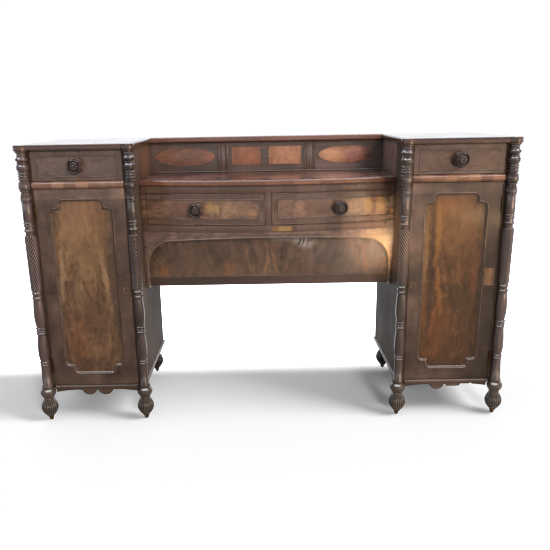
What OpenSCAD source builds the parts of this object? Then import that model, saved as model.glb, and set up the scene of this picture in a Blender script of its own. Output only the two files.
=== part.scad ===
// Pedestal sideboard with a recessed bow-fronted centre, corner columns and a low gallery.
// +Z is up, the front faces -Y, and the origin is under the middle of the object on the floor.

/* [Overall] */
// Height of the pedestal tops above the floor
top_z = 1100; // [1050:5:1180]
// Depth of the serving top of the centre below the pedestal tops
serving_drop = 155; // [140:5:185]
// Distance from the middle to the axis of an outer column
outer_col_x = 900; // [870:5:960]
// Distance from the middle to the axis of an inner column
inner_col_x = 510; // [480:5:540]
// Depth from the line of the column axes to the back
back_y = 505; // [470:5:560]

/* [Boards] */
// Thickness of the pedestal tops and the gallery cap
top_t = 22; // [18:1:28]
// Thickness of the serving top
serving_t = 20; // [16:1:26]
// Thickness of the carcase sides
side_t = 18; // [14:1:22]
// Thickness of the backs
back_t = 18; // [10:1:22]
// Thickness of the cupboard floors
floor_t = 16; // [12:1:20]
// Thickness of the dust boards under the drawers
dust_t = 12; // [8:1:14]
// Thickness of the cupboard shelves
shelf_t = 14; // [10:1:20]
// Height of the underside of the cupboard shelf
shelf_z = 556; // [400:5:700]
// Distance of the shelf's front edge behind the stiles
shelf_set = 30; // [20:5:120]
// How far a pedestal top stands out past the carcase sides
top_side_lip = 10; // [4:1:16]
// How far a pedestal top stands out past the drawer face
top_front_lip = 24; // [14:1:28]
// Glue line between boards of one piece
glue = 0.1; // [0.05:0.05:0.2]

/* [Columns] */
// Distance of the carcase side plane past the column axis
col_side_inset = 2; // [0:0.5:4]
// Distance of the carcase front plane behind the column axis
col_front_inset = 12; // [10:0.5:14]
// Radius of the turned rings
ring_r = 20; // [19:0.5:21]
// Radius of the collar at the height of the mid rail
collar_r = 22; // [21:0.5:23]
// Radius of the plain shaft
shaft_r = 17.5; // [16:0.5:18.5]
// Radius of the rope-carved length at its upper end
rope_r = 21; // [20:0.5:22]
// Radius of the rope-carved length at its lower end
rope_low_r = 19; // [17.5:0.5:19.5]
// Largest radius of the two balusters
baluster_r = 20.5; // [18:0.5:21]
// Radius of the necks between turnings
neck_r = 15.5; // [14:0.5:16.5]
// Radius of the round ears of the pedestal tops over the columns
ear_r = 26; // [24:0.5:28]

/* [Feet] */
// Height of the underside of the carcase
base_z = 146; // [140:1:156]
// Height of the plinth board and its bead
plinth_h = 15; // [12:1:18]
// Largest radius of the cup under a column
cup_r = 29; // [26:0.5:30]
// Radius of the waist between cup and melon
waist_r = 18; // [15:0.5:20]
// Largest radius of the melon
melon_r = 31.5; // [28:0.5:33]
// Height of the waist above the floor
waist_z = 95; // [90:1:100]
// Height of the foot's lower end above the floor
foot_z = 20.5; // [20:0.5:23]
// Distance of a back foot's axis from the carcase side plane
back_foot_side = 32; // [32:1:50]
// Distance of a back foot's axis from the back
back_foot_in = 36; // [34:1:60]

/* [Castors] */
// Radius of a castor wheel
wheel_r = 8; // [7:0.25:8.25]
// Width of a castor wheel
wheel_w = 9; // [7:0.5:10]
// Distance of the wheel's axle behind the swivel axis
trail = 5; // [3:0.5:6]
// Radius of the axle pin
axle_r = 1.5; // [1.25:0.25:2]
// Radius of the swivel stem
stem_r = 3; // [2.5:0.25:3.5]
// Length of the swivel stem above its plate
stem_len = 22; // [16:1:26]
// Radial clearance of pins and stems in their bores
run_gap = 0.05; // [0.02:0.01:0.08]
// Clearance between faces that slide or turn on each other
face_gap = 0.3; // [0.2:0.05:0.4]

/* [Doors] */
// Thickness of a door frame
door_t = 22; // [20:1:26]
// Width of the stiles that fill the carcase beside door and drawer
stile_w = 5; // [4:0.5:7]
// Gap round doors and drawer fronts
front_gap = 1.5; // [1.5:0.1:2]
// Width of the sunk panel in a door
panel_w = 240; // [200:5:260]
// Height from the door's lower edge to its sunk panel
panel_low = 45; // [35:1:60]
// Height from the sunk panel to the door's upper edge
panel_high = 38; // [35:1:60]
// Side of the square step at each corner of the panel
panel_step = 33; // [26:1:38]
// Radius of the rounded shoulders of the panel
panel_round = 22; // [8:1:26]
// Thickness of a door panel
panel_t = 8; // [6:1:9]
// Depth from the door face to its panel
panel_sink = 10; // [8:0.5:11]
// Overlap of the panel behind its frame
panel_lap = 8; // [5:1:12]
// Height of a hinge
hinge_h = 60; // [48:3:75]
// Distance of the hinges from the ends of the door
hinge_in = 55; // [45:1:90]
// Thickness of a hinge leaf
leaf_t = 1.2; // [1:0.1:1.6]
// Depth of a hinge leaf along the door's edge
leaf_w = 20; // [15:1:20]
// Radius of a hinge knuckle
knuckle_r = 3.5; // [3:0.1:3.6]
// Radius of a hinge pin
pin_r = 1.5; // [1.2:0.1:1.8]
// Height of the keyhole above the floor
key_z = 545; // [480:5:620]
// Distance of the keyhole from the door's free edge
key_in = 20; // [16:1:24]
// Radius of the round part of a keyhole
key_r = 2.5; // [2:0.25:3.5]
// Width of the slot of a keyhole
key_slot_w = 3; // [2:0.25:3.5]
// Length of the slot of a keyhole
key_slot_h = 9; // [7:0.5:12]
// Width of a lock case
lock_w = 36; // [32:1:44]
// Height of a lock case
lock_h = 60; // [45:1:70]
// Thickness of a lock case
lock_t = 10; // [8:1:12]

/* [Drawers] */
// Height of the opening of a pedestal drawer
drawer_open_h = 112; // [108:1:125]
// Height of the rounded rail under a pedestal drawer
mid_rail_h = 28; // [24:1:34]
// How far the rounded rail stands out past the drawer face
mid_rail_nose = 13; // [8:0.5:15]
// Thickness of the drawer fronts
front_t = 22; // [18:1:24]
// Thickness of the drawer sides and backs
drawer_side_t = 10; // [8:1:12]
// Thickness of the drawer bottoms
drawer_bottom_t = 6; // [5:1:8]
// Space between a drawer box and what is beside it
drawer_gap = 4; // [3:0.5:6]
// Height left free above a drawer box
drawer_head = 18; // [12:1:26]
// Distance from the drawer back to the carcase back
drawer_tail = 30; // [20:1:60]
// Radius of a drawer knob
knob_r = 30.5; // [26:0.5:32]
// How far a knob stands out from its drawer front
knob_len = 45; // [40:1:54]
// Radius of a knob's shank
knob_shank_r = 12; // [10:0.5:15]
// Radius of a knob's dowel
dowel_r = 6; // [5:0.5:7]

/* [Centre] */
// Depth of the centre's face behind the column axes, at the middle
bow_y = 125; // [105:5:150]
// How far the centre's face falls back from the middle to its ends
bow_rise = 64; // [40:2:80]
// Thickness of the rails, the arch and the drawer muntin along the bow
rail_t = 20; // [16:1:24]
// Height of the frieze rail under the serving top
frieze_h = 30; // [22:1:36]
// Height of the centre drawer openings
centre_drawer_h = 128; // [110:2:134]
// Height of the rail under the centre drawers
lower_rail_h = 29; // [24:1:34]
// Width of the muntin between the centre drawers
muntin_w = 26; // [22:1:32]
// How far the serving top stands out past the centre's face
serving_lip = 12; // [6:1:18]
// Distance from a centre drawer's inner edge to its knob
centre_knob_in = 268; // [200:4:300]
// Height of the apron over the crown of the arch
crown_h = 23; // [16:1:40]
// Height of the arch from the ends of its legs to its crown
arch_h = 215; // [200:1:240]
// Radius of the arch's haunches
haunch_r = 110; // [80:5:125]
// Drop from the crown to the centre of a haunch
haunch_drop = 125; // [122:1:150]
// Width of the arch's legs
leg_w = 16; // [12:1:22]
// Depth of the recessed panel's face behind the column axes
recess_y = 216; // [212:1:240]
// Thickness of the recessed panel
recess_t = 12; // [8:1:16]

/* [Gallery] */
// Depth of the gallery's face behind the column axes
gallery_y = 475; // [440:1:478]
// Thickness of the gallery board
gallery_t = 18; // [12:1:20]
// How far the gallery cap stands out past the gallery's face
cap_lip = 18; // [10:1:24]

/* [Apron] */
// Thickness of the shaped aprons
apron_t = 14; // [10:1:18]
// Depth of the apron's face behind the carcase front plane
apron_set = 4; // [2:1:8]
// Height of the aprons at the feet
apron_end_h = 16; // [12:1:20]
// Height of the aprons beside their lobes
apron_low_h = 8; // [6:1:12]
// Radius of the two middle lobes
lobe_r = 30; // [22:1:32]
// Space between the two middle lobes
lobe_gap = 6; // [4:1:12]

/* [Hidden] */
$fn = 64;
eps = 0.01;
sides = [-1, 1];
side_name = ["left", "right"];
corner_name = ["outer_front", "inner_front", "outer_back", "inner_back"];

// The carcase planes of a pedestal, on its right-hand copy
in_x = inner_col_x + col_side_inset;
out_x = outer_col_x - col_side_inset;
face_y = col_front_inset;
under_top = top_z - top_t;
mid_rail_top = under_top - drawer_open_h;
mid_rail_z = mid_rail_top - mid_rail_h;
mid_x = (in_x + out_x) / 2;
open_in_x = in_x + side_t + stile_w;
open_out_x = out_x - side_t - stile_w;
behind_clear = 2;
behind_front = face_y + max(door_t, front_t) + behind_clear;

// The turnings below the mid rail are drawn for a length of 792 and follow the height of the rail
drawn_len = 792;
turn_k = (mid_rail_z - base_z) / drawn_len;

// Doors, with the pin standing proud of the door's outer edge
door_in_x = open_in_x + front_gap;
door_out_x = open_out_x - front_gap;
door_z = base_z + front_gap;
door_top = mid_rail_z - front_gap;
door_h = door_top - door_z;
door_back = face_y + door_t;
pin_x = (door_out_x + open_out_x) / 2;
pin_out = 0.5;
pin_y = face_y - knuckle_r - pin_out;
hinge_zs = [door_z + hinge_in, door_top - hinge_in - hinge_h];
knuckle_h = hinge_h / 3;
panel_mid_x = (door_in_x + door_out_x) / 2;
panel_z = door_z + panel_low;
panel_h = door_h - panel_low - panel_high;
key_x = door_in_x + key_in;

// Pedestal drawers
divider_z = mid_rail_top - dust_t;
drawer_front_z = mid_rail_top + front_gap;
drawer_front_top = under_top - front_gap;
drawer_knob_z = (drawer_front_z + drawer_front_top) / 2;
drawer_floor = divider_z + dust_t + face_gap;
drawer_back = back_y - back_t - drawer_tail;
carcase_back = back_y - back_t - glue;

// Rim and foot of a knob
rim_r = 5;
rim_z = knob_len / 2;
base_lip = 4;

// The bow of the centre is one circle, through its middle and its two ends
bow_r = (in_x * in_x + bow_rise * bow_rise) / (2 * bow_rise);
bow_centre_y = bow_y + bow_r;
bow_fn = 720;
serving_z = top_z - serving_drop;
under_serving = serving_z - serving_t;
rail_z = under_serving - frieze_h;
lower_rail_top = rail_z - centre_drawer_h;
lower_rail_z = lower_rail_top - lower_rail_h;
centre_dust_z = lower_rail_top - dust_t;
centre_in_x = muntin_w / 2 + front_gap;
column_clear = 0.5;
end_stile_x = inner_col_x - ring_r - column_clear;
centre_out_x = end_stile_x - front_gap;
centre_front_z = lower_rail_top + front_gap;
centre_front_top = rail_z - front_gap;
centre_knob_x = centre_in_x + centre_knob_in;
centre_knob_z = (centre_front_z + centre_front_top) / 2;
centre_back_y = back_y - back_t;
guide_t = 12;
bow_end_y = bow_y + bow_rise;

// A three-centred arch: two haunches joined by one long, nearly flat curve
arch_z = lower_rail_z - crown_h;
recess_low_z = arch_z - arch_h;
arch_half = in_x - leg_w;
haunch_x = arch_half - haunch_r;
crown_part = haunch_x * haunch_x + haunch_drop * haunch_drop - haunch_r * haunch_r;
crown_r = crown_part / (2 * (haunch_drop - haunch_r));
crown_turn = asin(haunch_x / (crown_r - haunch_r));

// Feet and castors
plate_gap = 0.8;
plate_z = wheel_r * 2 + plate_gap;
flange_t = 1.5;
flange_z = foot_z - flange_t;
socket_wall = 2;
stem_end_gap = 2;
socket_r = stem_r + socket_wall;
socket_len = stem_len + stem_end_gap + socket_wall;
cheek_t = 1.6;
cheek_r = 3;
fork_r = 11;
plate_top = flange_z - face_gap;
back_foot_top = base_z - plinth_h;
seat_r = shaft_r + 4;

// The whole object is moved so that its box is centred over the origin
front_reach = min(face_y - knob_len, -ear_r);
mid_y = (front_reach + back_y) / 2;

// Placing: the left pedestal mirrors the right one

module placed() translate([0, -mid_y, 0]) children();

module on_side(s) placed() mirror([s < 0 ? 1 : 0, 0, 0]) children();

module both_sides() {
    on_side(1) children();
    on_side(-1) children();
}

// A board from one corner to the opposite one
module board(low, high) translate(low) cube(high - low);

// Turned shapes, as lists of [radius, height] from the top down

function bead(z, h, r, rise, steps = 4) =
    [for (i = [0:steps]) [r + rise * sin(180 * i / steps), z + h / 2 - h * i / steps]];

function swell(z_top, z_low, r_top, r_mid, r_low, at = 0.5, steps = 8) =
    [for (i = [0:steps])
        let (t = i / steps)
        let (u = t < at ? t / at : (1 - t) / (1 - at))
        let (r_end = t < at ? r_top : r_low)
        [r_end + (r_mid - r_end) * sin(90 * u), z_top + (z_low - z_top) * t]];

// Heights below the mid rail, as they are drawn
function turn_z(d) = mid_rail_z - d * turn_k;

function ring(d, h, r, out_r) = bead(turn_z(d), h * turn_k, r, out_r - r);

function column_profile(top, low) = concat(
    [[0, top], [ring_r + 1, top], [ring_r + 1, top - 6], [neck_r + 1, top - 9], [neck_r + 1, top - 20]],
    bead(top - 30, 16, neck_r + 2, ring_r - neck_r + 1),
    [[neck_r + 1, top - 41]],
    bead(top - 44, 4, neck_r + 3, 2, 2),
    [[neck_r + 2, top - 48]],
    swell(top - 50, top - 75, ring_r - 1, ring_r + 2.5, neck_r + 1, 0.3),
    [for (rise = [32, 22, 12]) each bead(mid_rail_top + rise, 7, neck_r + 1, 4)],
    [[neck_r + 2, mid_rail_top + 1]],
    bead((mid_rail_top + mid_rail_z) / 2, mid_rail_h, collar_r - 3, 3),
    ring(5, 6, neck_r + 1, ring_r),
    [[neck_r, turn_z(10)], [neck_r, turn_z(24)], [neck_r + 3, turn_z(38)]],
    ring(43, 6, neck_r + 1.5, ring_r + 0.5),
    [[shaft_r, turn_z(48)], [shaft_r + 0.5, turn_z(114)]],
    ring(123, 7, shaft_r - 1, ring_r),
    ring(134, 7, shaft_r - 1, ring_r),
    [[shaft_r - 1, turn_z(146)]],
    ring(153, 9, shaft_r - 1, ring_r),
    [[shaft_r - 2, turn_z(164)]],
    [[rope_r - 2, turn_z(172)], [rope_r, turn_z(175)]],
    [[rope_low_r, turn_z(387)], [rope_low_r - 1, turn_z(390)]],
    [[shaft_r - 2, turn_z(392)]],
    ring(398, 9, shaft_r - 1, ring_r - 0.5),
    [[neck_r + 1, turn_z(407)]],
    ring(418, 10, neck_r + 1, ring_r - 0.5),
    swell(turn_z(426), turn_z(535), neck_r + 1, baluster_r, neck_r, 0.6),
    [for (d = [542, 552]) each ring(d, 7, neck_r, ring_r - 1)],
    ring(563, 9, neck_r, ring_r - 1),
    swell(turn_z(570), turn_z(678), neck_r, baluster_r - 0.5, neck_r, 0.65),
    ring(685, 8, neck_r, ring_r - 2),
    ring(695, 7, neck_r, ring_r - 2),
    [[neck_r, turn_z(702)], [shaft_r, low + 8], [shaft_r + 2, low + 6], [shaft_r + 2, low], [0, low]]
);

function foot_profile(top) = concat(
    [[0, top], [seat_r, top], [seat_r, top - 5]],
    swell(top - 7, waist_z + 4, seat_r - 1, cup_r, waist_r, 0.35),
    [[waist_r, waist_z]],
    swell(waist_z, foot_z, waist_r, melon_r, 12, 0.5, 10),
    [[0, foot_z]]
);

// Carcase of the pedestals

module pedestal_sides(s) color("#5b3f2d") on_side(s) {
    board([in_x, face_y, base_z], [in_x + side_t, back_y, under_top]);
    board([out_x - side_t, face_y, base_z], [out_x, back_y, under_top]);
    board([in_x + side_t + glue, face_y, base_z + glue], [open_in_x, behind_front, under_top - glue]);
    difference() {
        board([open_out_x, face_y, base_z + glue], [out_x - side_t - glue, behind_front, under_top - glue]);
        leaf_cuts(open_out_x - eps, open_out_x + leaf_t + glue);
    }
}

// What the hinge leaves are let into, between two x values
module leaf_cuts(x0, x1) for (z = hinge_zs)
    board([x0, face_y - eps, z - glue], [x1, face_y + leaf_w + glue, z + hinge_h + glue]);

// A board across the inside of a pedestal, between its front and its back
module cross_board(y, z, t)
    board([in_x + side_t + glue, y, z], [out_x - side_t - glue, carcase_back, z + t]);

module pedestal_top(s) color("#4b3227") on_side(s) translate([0, 0, under_top]) {
    linear_extrude(top_t) union() {
        translate([in_x - top_side_lip, face_y - top_front_lip])
            square([out_x - in_x + 2 * top_side_lip, back_y - face_y + top_front_lip]);
        for (x = [inner_col_x, outer_col_x])
            translate([x, 0]) circle(ear_r);
    }
}

module pedestal_backs() color("#4a3a2e") both_sides()
    board([in_x + side_t + glue, back_y - back_t, base_z],
        [out_x - side_t - glue, back_y, under_top - glue]);

module pedestal_floors() color("#6a4c36") both_sides() cross_board(behind_front + glue, base_z, floor_t);

module pedestal_dividers() color("#6a4c36") both_sides() cross_board(behind_front + glue, divider_z, dust_t);

module pedestal_shelves() color("#6a4c36") both_sides()
    cross_board(behind_front + shelf_set, shelf_z, shelf_t);

// The rail under each pedestal drawer has a half-round face
module mid_rails() color("#a4705a") both_sides() intersection() {
    board([open_in_x + glue, face_y - mid_rail_nose, mid_rail_z],
        [open_out_x - glue, behind_front, mid_rail_top]);
    union() {
        board([open_in_x + glue, face_y, mid_rail_z], [open_out_x - glue, behind_front, mid_rail_top]);
        translate([open_in_x + glue, face_y, mid_rail_z + mid_rail_h / 2])
            rotate([0, 90, 0]) cylinder(h = open_out_x - open_in_x - 2 * glue, r = mid_rail_h / 2);
    }
}

module plinth_boards() color("#50372a") both_sides() translate([0, 0, base_z - plinth_h]) difference() {
    union() {
        board([in_x, face_y, 0], [out_x, back_y, plinth_h]);
        translate([in_x, face_y, plinth_h / 2])
            rotate([0, 90, 0]) cylinder(h = out_x - in_x, r = plinth_h / 2);
        for (x = [in_x, out_x])
            translate([x, back_y, plinth_h / 2])
                rotate([90, 0, 0]) cylinder(h = back_y - face_y, r = plinth_h / 2);
    }
    for (x = [inner_col_x, outer_col_x])
        translate([x, 0, -eps]) cylinder(h = plinth_h + 2 * eps, r = cup_r + column_clear);
}

// Lower edge of an apron: ogee sweeps that rise from the feet to a pair of round lobes in the middle
function sweep_edge(half) = [for (i = [0:12])
    let (t = i / 12)
    let (rise = apron_end_h - apron_low_h)
    [half + (2 * lobe_r + lobe_gap / 2 - half) * t, -apron_end_h + rise * (1 - cos(180 * t)) / 2]];

module scalloped_aprons() color("#5b3f2d") both_sides() {
    half = mid_x - inner_col_x - cup_r - 2 * column_clear;
    edge = sweep_edge(half);
    translate([mid_x, 0, base_z - plinth_h]) upright(face_y + apron_set, apron_t) union() {
        polygon(concat([[half, 0]], edge, backwards([for (p = edge) [-p[0], p[1]]]), [[-half, 0]]));
        intersection() {
            translate([-half, -lobe_r]) square([2 * half, lobe_r]);
            for (k = sides)
                translate([k * (lobe_r + lobe_gap / 2), 0]) circle(lobe_r);
        }
    }
}

// Columns and feet

module corner_columns() color("#6b5040") both_sides() for (x = [inner_col_x, outer_col_x]) difference() {
    translate([x, 0, 0]) rotate_extrude() polygon(column_profile(under_top, base_z));
    board([in_x, face_y, base_z - 1], [out_x, face_y + 2 * collar_r, under_top + 1]);
}

module foot(top) difference() {
    rotate_extrude() polygon(foot_profile(top));
    translate([0, 0, foot_z - eps]) cylinder(h = socket_len + flange_t, r = socket_r + run_gap);
}

module front_feet() color("#5d4636") both_sides() for (x = [inner_col_x, outer_col_x])
    translate([x, 0, 0]) foot(base_z);

module back_feet() color("#3b2c24") both_sides() for (x = [in_x + back_foot_side, out_x - back_foot_side])
    translate([x, back_y - back_foot_in, 0]) foot(back_foot_top);

// Castors: a socket in each foot, a fork that swivels in it, and a wheel on the fork's axle

function castor_at(c) = c % 2 == 0
    ? [c < 2 ? outer_col_x : out_x - back_foot_side, c < 2 ? 0 : back_y - back_foot_in, 0]
    : [c < 2 ? inner_col_x : in_x + back_foot_side, c < 2 ? 0 : back_y - back_foot_in, 0];

module castor_sockets() color("#8c7443") both_sides() for (c = [0:3]) translate(castor_at(c)) difference() {
    union() {
        translate([0, 0, flange_z]) cylinder(h = foot_z - flange_z, r = fork_r);
        translate([0, 0, flange_z]) cylinder(h = socket_len, r = socket_r);
    }
    translate([0, 0, flange_z - eps]) cylinder(h = stem_len + stem_end_gap, r = stem_r + run_gap);
}

module castor_fork(s, c) color("#8c7443") on_side(s) translate(castor_at(c)) {
    cheek_x = wheel_w / 2 + face_gap;
    translate([0, 0, plate_z]) cylinder(h = plate_top - plate_z, r = fork_r);
    translate([0, 0, plate_z]) cylinder(h = stem_len, r = stem_r);
    for (k = sides)
        translate([k * (cheek_x + cheek_t / 2) - cheek_t / 2, trail, wheel_r]) {
            translate([0, -cheek_r, 0]) cube([cheek_t, 2 * cheek_r, (plate_z + plate_top) / 2 - wheel_r]);
            rotate([0, 90, 0]) cylinder(h = cheek_t, r = cheek_r);
        }
    translate([-cheek_x - cheek_t, trail, wheel_r])
        rotate([0, 90, 0]) cylinder(h = 2 * (cheek_x + cheek_t), r = axle_r);
}

module castor_wheel(s, c) color("#6f5f45") on_side(s)
    translate(castor_at(c) + [-wheel_w / 2, trail, wheel_r]) rotate([0, 90, 0]) difference() {
        cylinder(h = wheel_w, r = wheel_r);
        translate([0, 0, -1]) cylinder(h = wheel_w + 2, r = axle_r + run_gap);
    }

// Doors

// Half of the stepped outline, from the middle of the right side round to the middle of the top
function stepped_quarter(w, h, step, r) = concat(
    [for (i = [0:5]) [w / 2 - r + r * cos(18 * i), h / 2 - step - r + r * sin(18 * i)]],
    [[w / 2 - step, h / 2 - step]],
    [for (i = [0:5]) [w / 2 - step - r + r * cos(18 * i), h / 2 - r + r * sin(18 * i)]]
);

function backwards(points) = [for (i = [len(points) - 1:-1:0]) points[i]];

function stepped_outline(w, h, step, r) = let (q = stepped_quarter(w, h, step, r)) concat(
    q,
    backwards([for (p = q) [-p[0], p[1]]]),
    [for (p = q) [-p[0], -p[1]]],
    backwards([for (p = q) [p[0], -p[1]]])
);

// A plate that stands in the plane of the door, from its face depth backwards
module upright(y, t) translate([0, y + t, 0]) rotate([90, 0, 0]) linear_extrude(t) children();

module door_frame(s) color("#6b4f3c") on_side(s) difference() {
    board([door_in_x, face_y, door_z], [door_out_x, door_back, door_top]);
    translate([panel_mid_x, 0, panel_z + panel_h / 2])
        upright(face_y - 1, door_t + 2) polygon(stepped_outline(panel_w, panel_h, panel_step, panel_round));
    board([panel_mid_x - panel_w / 2 - panel_lap, face_y + panel_sink, panel_z - panel_lap],
        [panel_mid_x + panel_w / 2 + panel_lap, door_back + 1, panel_z + panel_h + panel_lap]);
    leaf_cuts(door_out_x - leaf_t - glue, door_out_x + eps);
    translate([key_x, face_y - 1, key_z]) rotate([-90, 0, 0]) cylinder(h = door_t + 2, r = key_r);
    board([key_x - key_slot_w / 2, face_y - 1, key_z - key_slot_h],
        [key_x + key_slot_w / 2, door_back + 1, key_z]);
}

module door_panel(s) color("#8a5f3e") on_side(s) {
    lap = panel_lap - glue;
    board([panel_mid_x - panel_w / 2 - lap, face_y + panel_sink + glue, panel_z - lap],
        [panel_mid_x + panel_w / 2 + lap, face_y + panel_sink + panel_t, panel_z + panel_h + lap]);
}

// The leaf on the door carries the middle knuckle
module door_hinges(s) color("#a98c4e") on_side(s) for (z = hinge_zs) difference() {
    union() {
        board([door_out_x - leaf_t, face_y, z], [door_out_x, face_y + leaf_w, z + hinge_h]);
        board([door_out_x - leaf_t, pin_y, z + knuckle_h + face_gap],
            [door_out_x, face_y + 1, z + 2 * knuckle_h - face_gap]);
        translate([pin_x, pin_y, z + knuckle_h + face_gap])
            cylinder(h = knuckle_h - 2 * face_gap, r = knuckle_r);
    }
    translate([pin_x, pin_y, z]) cylinder(h = hinge_h, r = pin_r + run_gap);
}

// The leaf on the carcase carries the outer knuckles and the pin
module hinge_case_leaves() color("#a98c4e") both_sides() for (z = hinge_zs) {
    board([open_out_x, face_y, z], [open_out_x + leaf_t, face_y + leaf_w, z + hinge_h]);
    for (k = [0, 2]) {
        board([open_out_x, pin_y, z + k * knuckle_h],
            [open_out_x + leaf_t, face_y + 1, z + (k + 1) * knuckle_h]);
        translate([pin_x, pin_y, z + k * knuckle_h]) cylinder(h = knuckle_h, r = knuckle_r);
    }
    translate([pin_x, pin_y, z]) cylinder(h = hinge_h, r = pin_r);
}

module door_lock(s) color("#8c7443") on_side(s) difference() {
    board([door_in_x, door_back, key_z - lock_h / 2],
        [door_in_x + lock_w, door_back + lock_t, key_z + lock_h / 2]);
    translate([key_x, door_back - 1, key_z]) rotate([-90, 0, 0]) cylinder(h = lock_t - 1, r = key_r);
}

// Drawers of the pedestals

module drawer_front(s) color("#6b4f3c") on_side(s) difference() {
    board([door_in_x, face_y, drawer_front_z], [door_out_x, face_y + front_t, drawer_front_top]);
    translate([mid_x, face_y, drawer_knob_z]) dowel_bore();
}

module dowel_bore() translate([0, -1, 0]) rotate([-90, 0, 0]) cylinder(h = front_t + 2, r = dowel_r + glue);

module drawer_box(s) color("#8b6b4a") on_side(s) {
    low = face_y + front_t + glue;
    top = drawer_front_top - drawer_head;
    x0 = open_in_x + drawer_gap;
    x1 = open_out_x - drawer_gap;
    wall_z = drawer_floor + drawer_bottom_t + glue;
    board([x0, low, drawer_floor], [x1, drawer_back, drawer_floor + drawer_bottom_t]);
    board([x0, low, wall_z], [x0 + drawer_side_t, drawer_back, top]);
    board([x1 - drawer_side_t, low, wall_z], [x1, drawer_back, top]);
    board([x0 + drawer_side_t + glue, drawer_back - drawer_side_t, wall_z],
        [x1 - drawer_side_t - glue, drawer_back, top]);
}

// A knob points along -Y from the plane of its own origin, with a dowel behind
module knob() rotate([90, 0, 0]) rotate_extrude() polygon(concat(
    [[0, knob_len], [knob_r * 0.5, knob_len - 1], [knob_r * 0.6, knob_len - 7]],
    [[knob_r * 0.7, knob_len - 2.5], [knob_r * 0.82, knob_len - 5]],
    [for (i = [0:6])
        let (a = 70 - 25 * i)
        [knob_r - rim_r + rim_r * cos(a), rim_z + rim_r * sin(a)]],
    [[knob_shank_r + 3, rim_z - rim_r - 3], [knob_shank_r, rim_z - rim_r - 5], [knob_shank_r, 9]],
    [[knob_shank_r + base_lip, 5], [knob_shank_r + base_lip, 0]],
    [[dowel_r, 0], [dowel_r, -front_t], [0, -front_t]]
));

module drawer_knob(s) color("#3a2d28") on_side(s) translate([mid_x, face_y, drawer_knob_z]) knob();

// Centre: everything that follows the bow is cut from one ring, or lies inside it

// Plan of what lies behind the bow, set back from its face, between two x values
module behind_bow(set_back, x0, x1, y1) intersection() {
    translate([0, bow_centre_y]) circle(bow_r - set_back, $fn = bow_fn);
    translate([x0, bow_y - serving_lip - 1]) square([x1 - x0, y1 - bow_y + serving_lip + 1]);
}

// Plan of a board that is bent to the bow
module bent(t, x0, x1) difference() {
    behind_bow(0, x0, x1, bow_end_y + 2 * t);
    translate([0, bow_centre_y]) circle(bow_r - t, $fn = bow_fn);
}

module serving_top() color("#6e3d2a") placed() translate([0, 0, under_serving]) linear_extrude(serving_t)
    behind_bow(-serving_lip, glue - in_x, in_x - glue, back_y);

module centre_front_rails() color("#6b4f3c") placed() {
    translate([0, 0, rail_z]) linear_extrude(frieze_h - glue) bent(rail_t, glue - in_x, in_x - glue);
    translate([0, 0, lower_rail_z]) linear_extrude(lower_rail_h) bent(rail_t, glue - in_x, in_x - glue);
    translate([0, 0, lower_rail_top + glue]) linear_extrude(centre_drawer_h - 2 * glue) {
        bent(rail_t, -muntin_w / 2, muntin_w / 2);
        for (k = sides)
            mirror([k < 0 ? 1 : 0, 0]) bent(rail_t, end_stile_x, in_x - glue);
    }
}

// One half of the arch, from the end of its leg to its crown
function arch_side() = concat(
    [[arch_half, recess_low_z - 1]],
    [for (i = [0:8])
        let (a = (90 - crown_turn) * i / 8)
        [haunch_x + haunch_r * cos(a), arch_z - haunch_drop + haunch_r * sin(a)]],
    [for (i = [1:8])
        let (a = crown_turn * (1 - i / 8))
        [crown_r * sin(a), arch_z - crown_r + crown_r * cos(a)]]
);

module arch_apron() color("#75543d") placed() difference() {
    translate([0, 0, recess_low_z]) linear_extrude(lower_rail_z - glue - recess_low_z)
        bent(rail_t, glue - in_x, in_x - glue);
    upright(bow_y - 2, bow_rise + 2 * rail_t)
        polygon(concat(arch_side(), backwards([for (p = arch_side()) [-p[0], p[1]]])));
}

module recess_panel() color("#80583a") placed()
    board([glue - in_x, recess_y, recess_low_z], [in_x - glue, recess_y + recess_t, centre_dust_z - glue]);

// The board that the centre drawers slide on, with the guide between them
module centre_dust_board() color("#6a4c36") placed() {
    translate([0, 0, centre_dust_z]) linear_extrude(dust_t)
        behind_bow(rail_t + glue, glue - in_x, in_x - glue, centre_back_y - glue);
    board([-guide_t / 2, bow_y + rail_t + 1, centre_dust_z + dust_t + glue],
        [guide_t / 2, centre_back_y - glue, under_serving - glue]);
}

module centre_back() color("#4a3a2e") placed()
    board([glue - in_x, centre_back_y, centre_dust_z], [in_x - glue, back_y, under_serving - glue]);

module centre_drawer_front(s) color("#7d5a3c") on_side(s) difference() {
    translate([0, 0, centre_front_z]) linear_extrude(centre_front_top - centre_front_z)
        bent(front_t, centre_in_x, centre_out_x);
    on_bow(centre_knob_x, centre_knob_z) dowel_bore();
}

// Moves a piece onto the bow, square to its face
module on_bow(x, z) translate([0, bow_centre_y, 0])
    rotate([0, 0, asin(x / bow_r)]) translate([0, -bow_r, z]) children();

module centre_drawer_box(s) color("#8b6b4a") on_side(s) {
    low = centre_dust_z + dust_t + face_gap;
    top = centre_front_top - drawer_head;
    x0 = muntin_w / 2 + drawer_gap;
    x1 = centre_out_x - drawer_gap;
    wall_z = low + drawer_bottom_t + glue;
    end_y = centre_back_y - drawer_tail;
    set = front_t + glue;
    translate([0, 0, low]) linear_extrude(drawer_bottom_t) behind_bow(set, x0, x1, end_y);
    translate([0, 0, wall_z]) linear_extrude(top - wall_z) {
        behind_bow(set, x0, x0 + drawer_side_t, end_y);
        behind_bow(set, x1 - drawer_side_t, x1, end_y);
        translate([x0 + drawer_side_t + glue, end_y - drawer_side_t])
            square([x1 - x0 - 2 * drawer_side_t - 2 * glue, drawer_side_t]);
    }
}

module centre_drawer_knob(s) color("#3a2d28") on_side(s) on_bow(centre_knob_x, centre_knob_z) knob();

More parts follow.
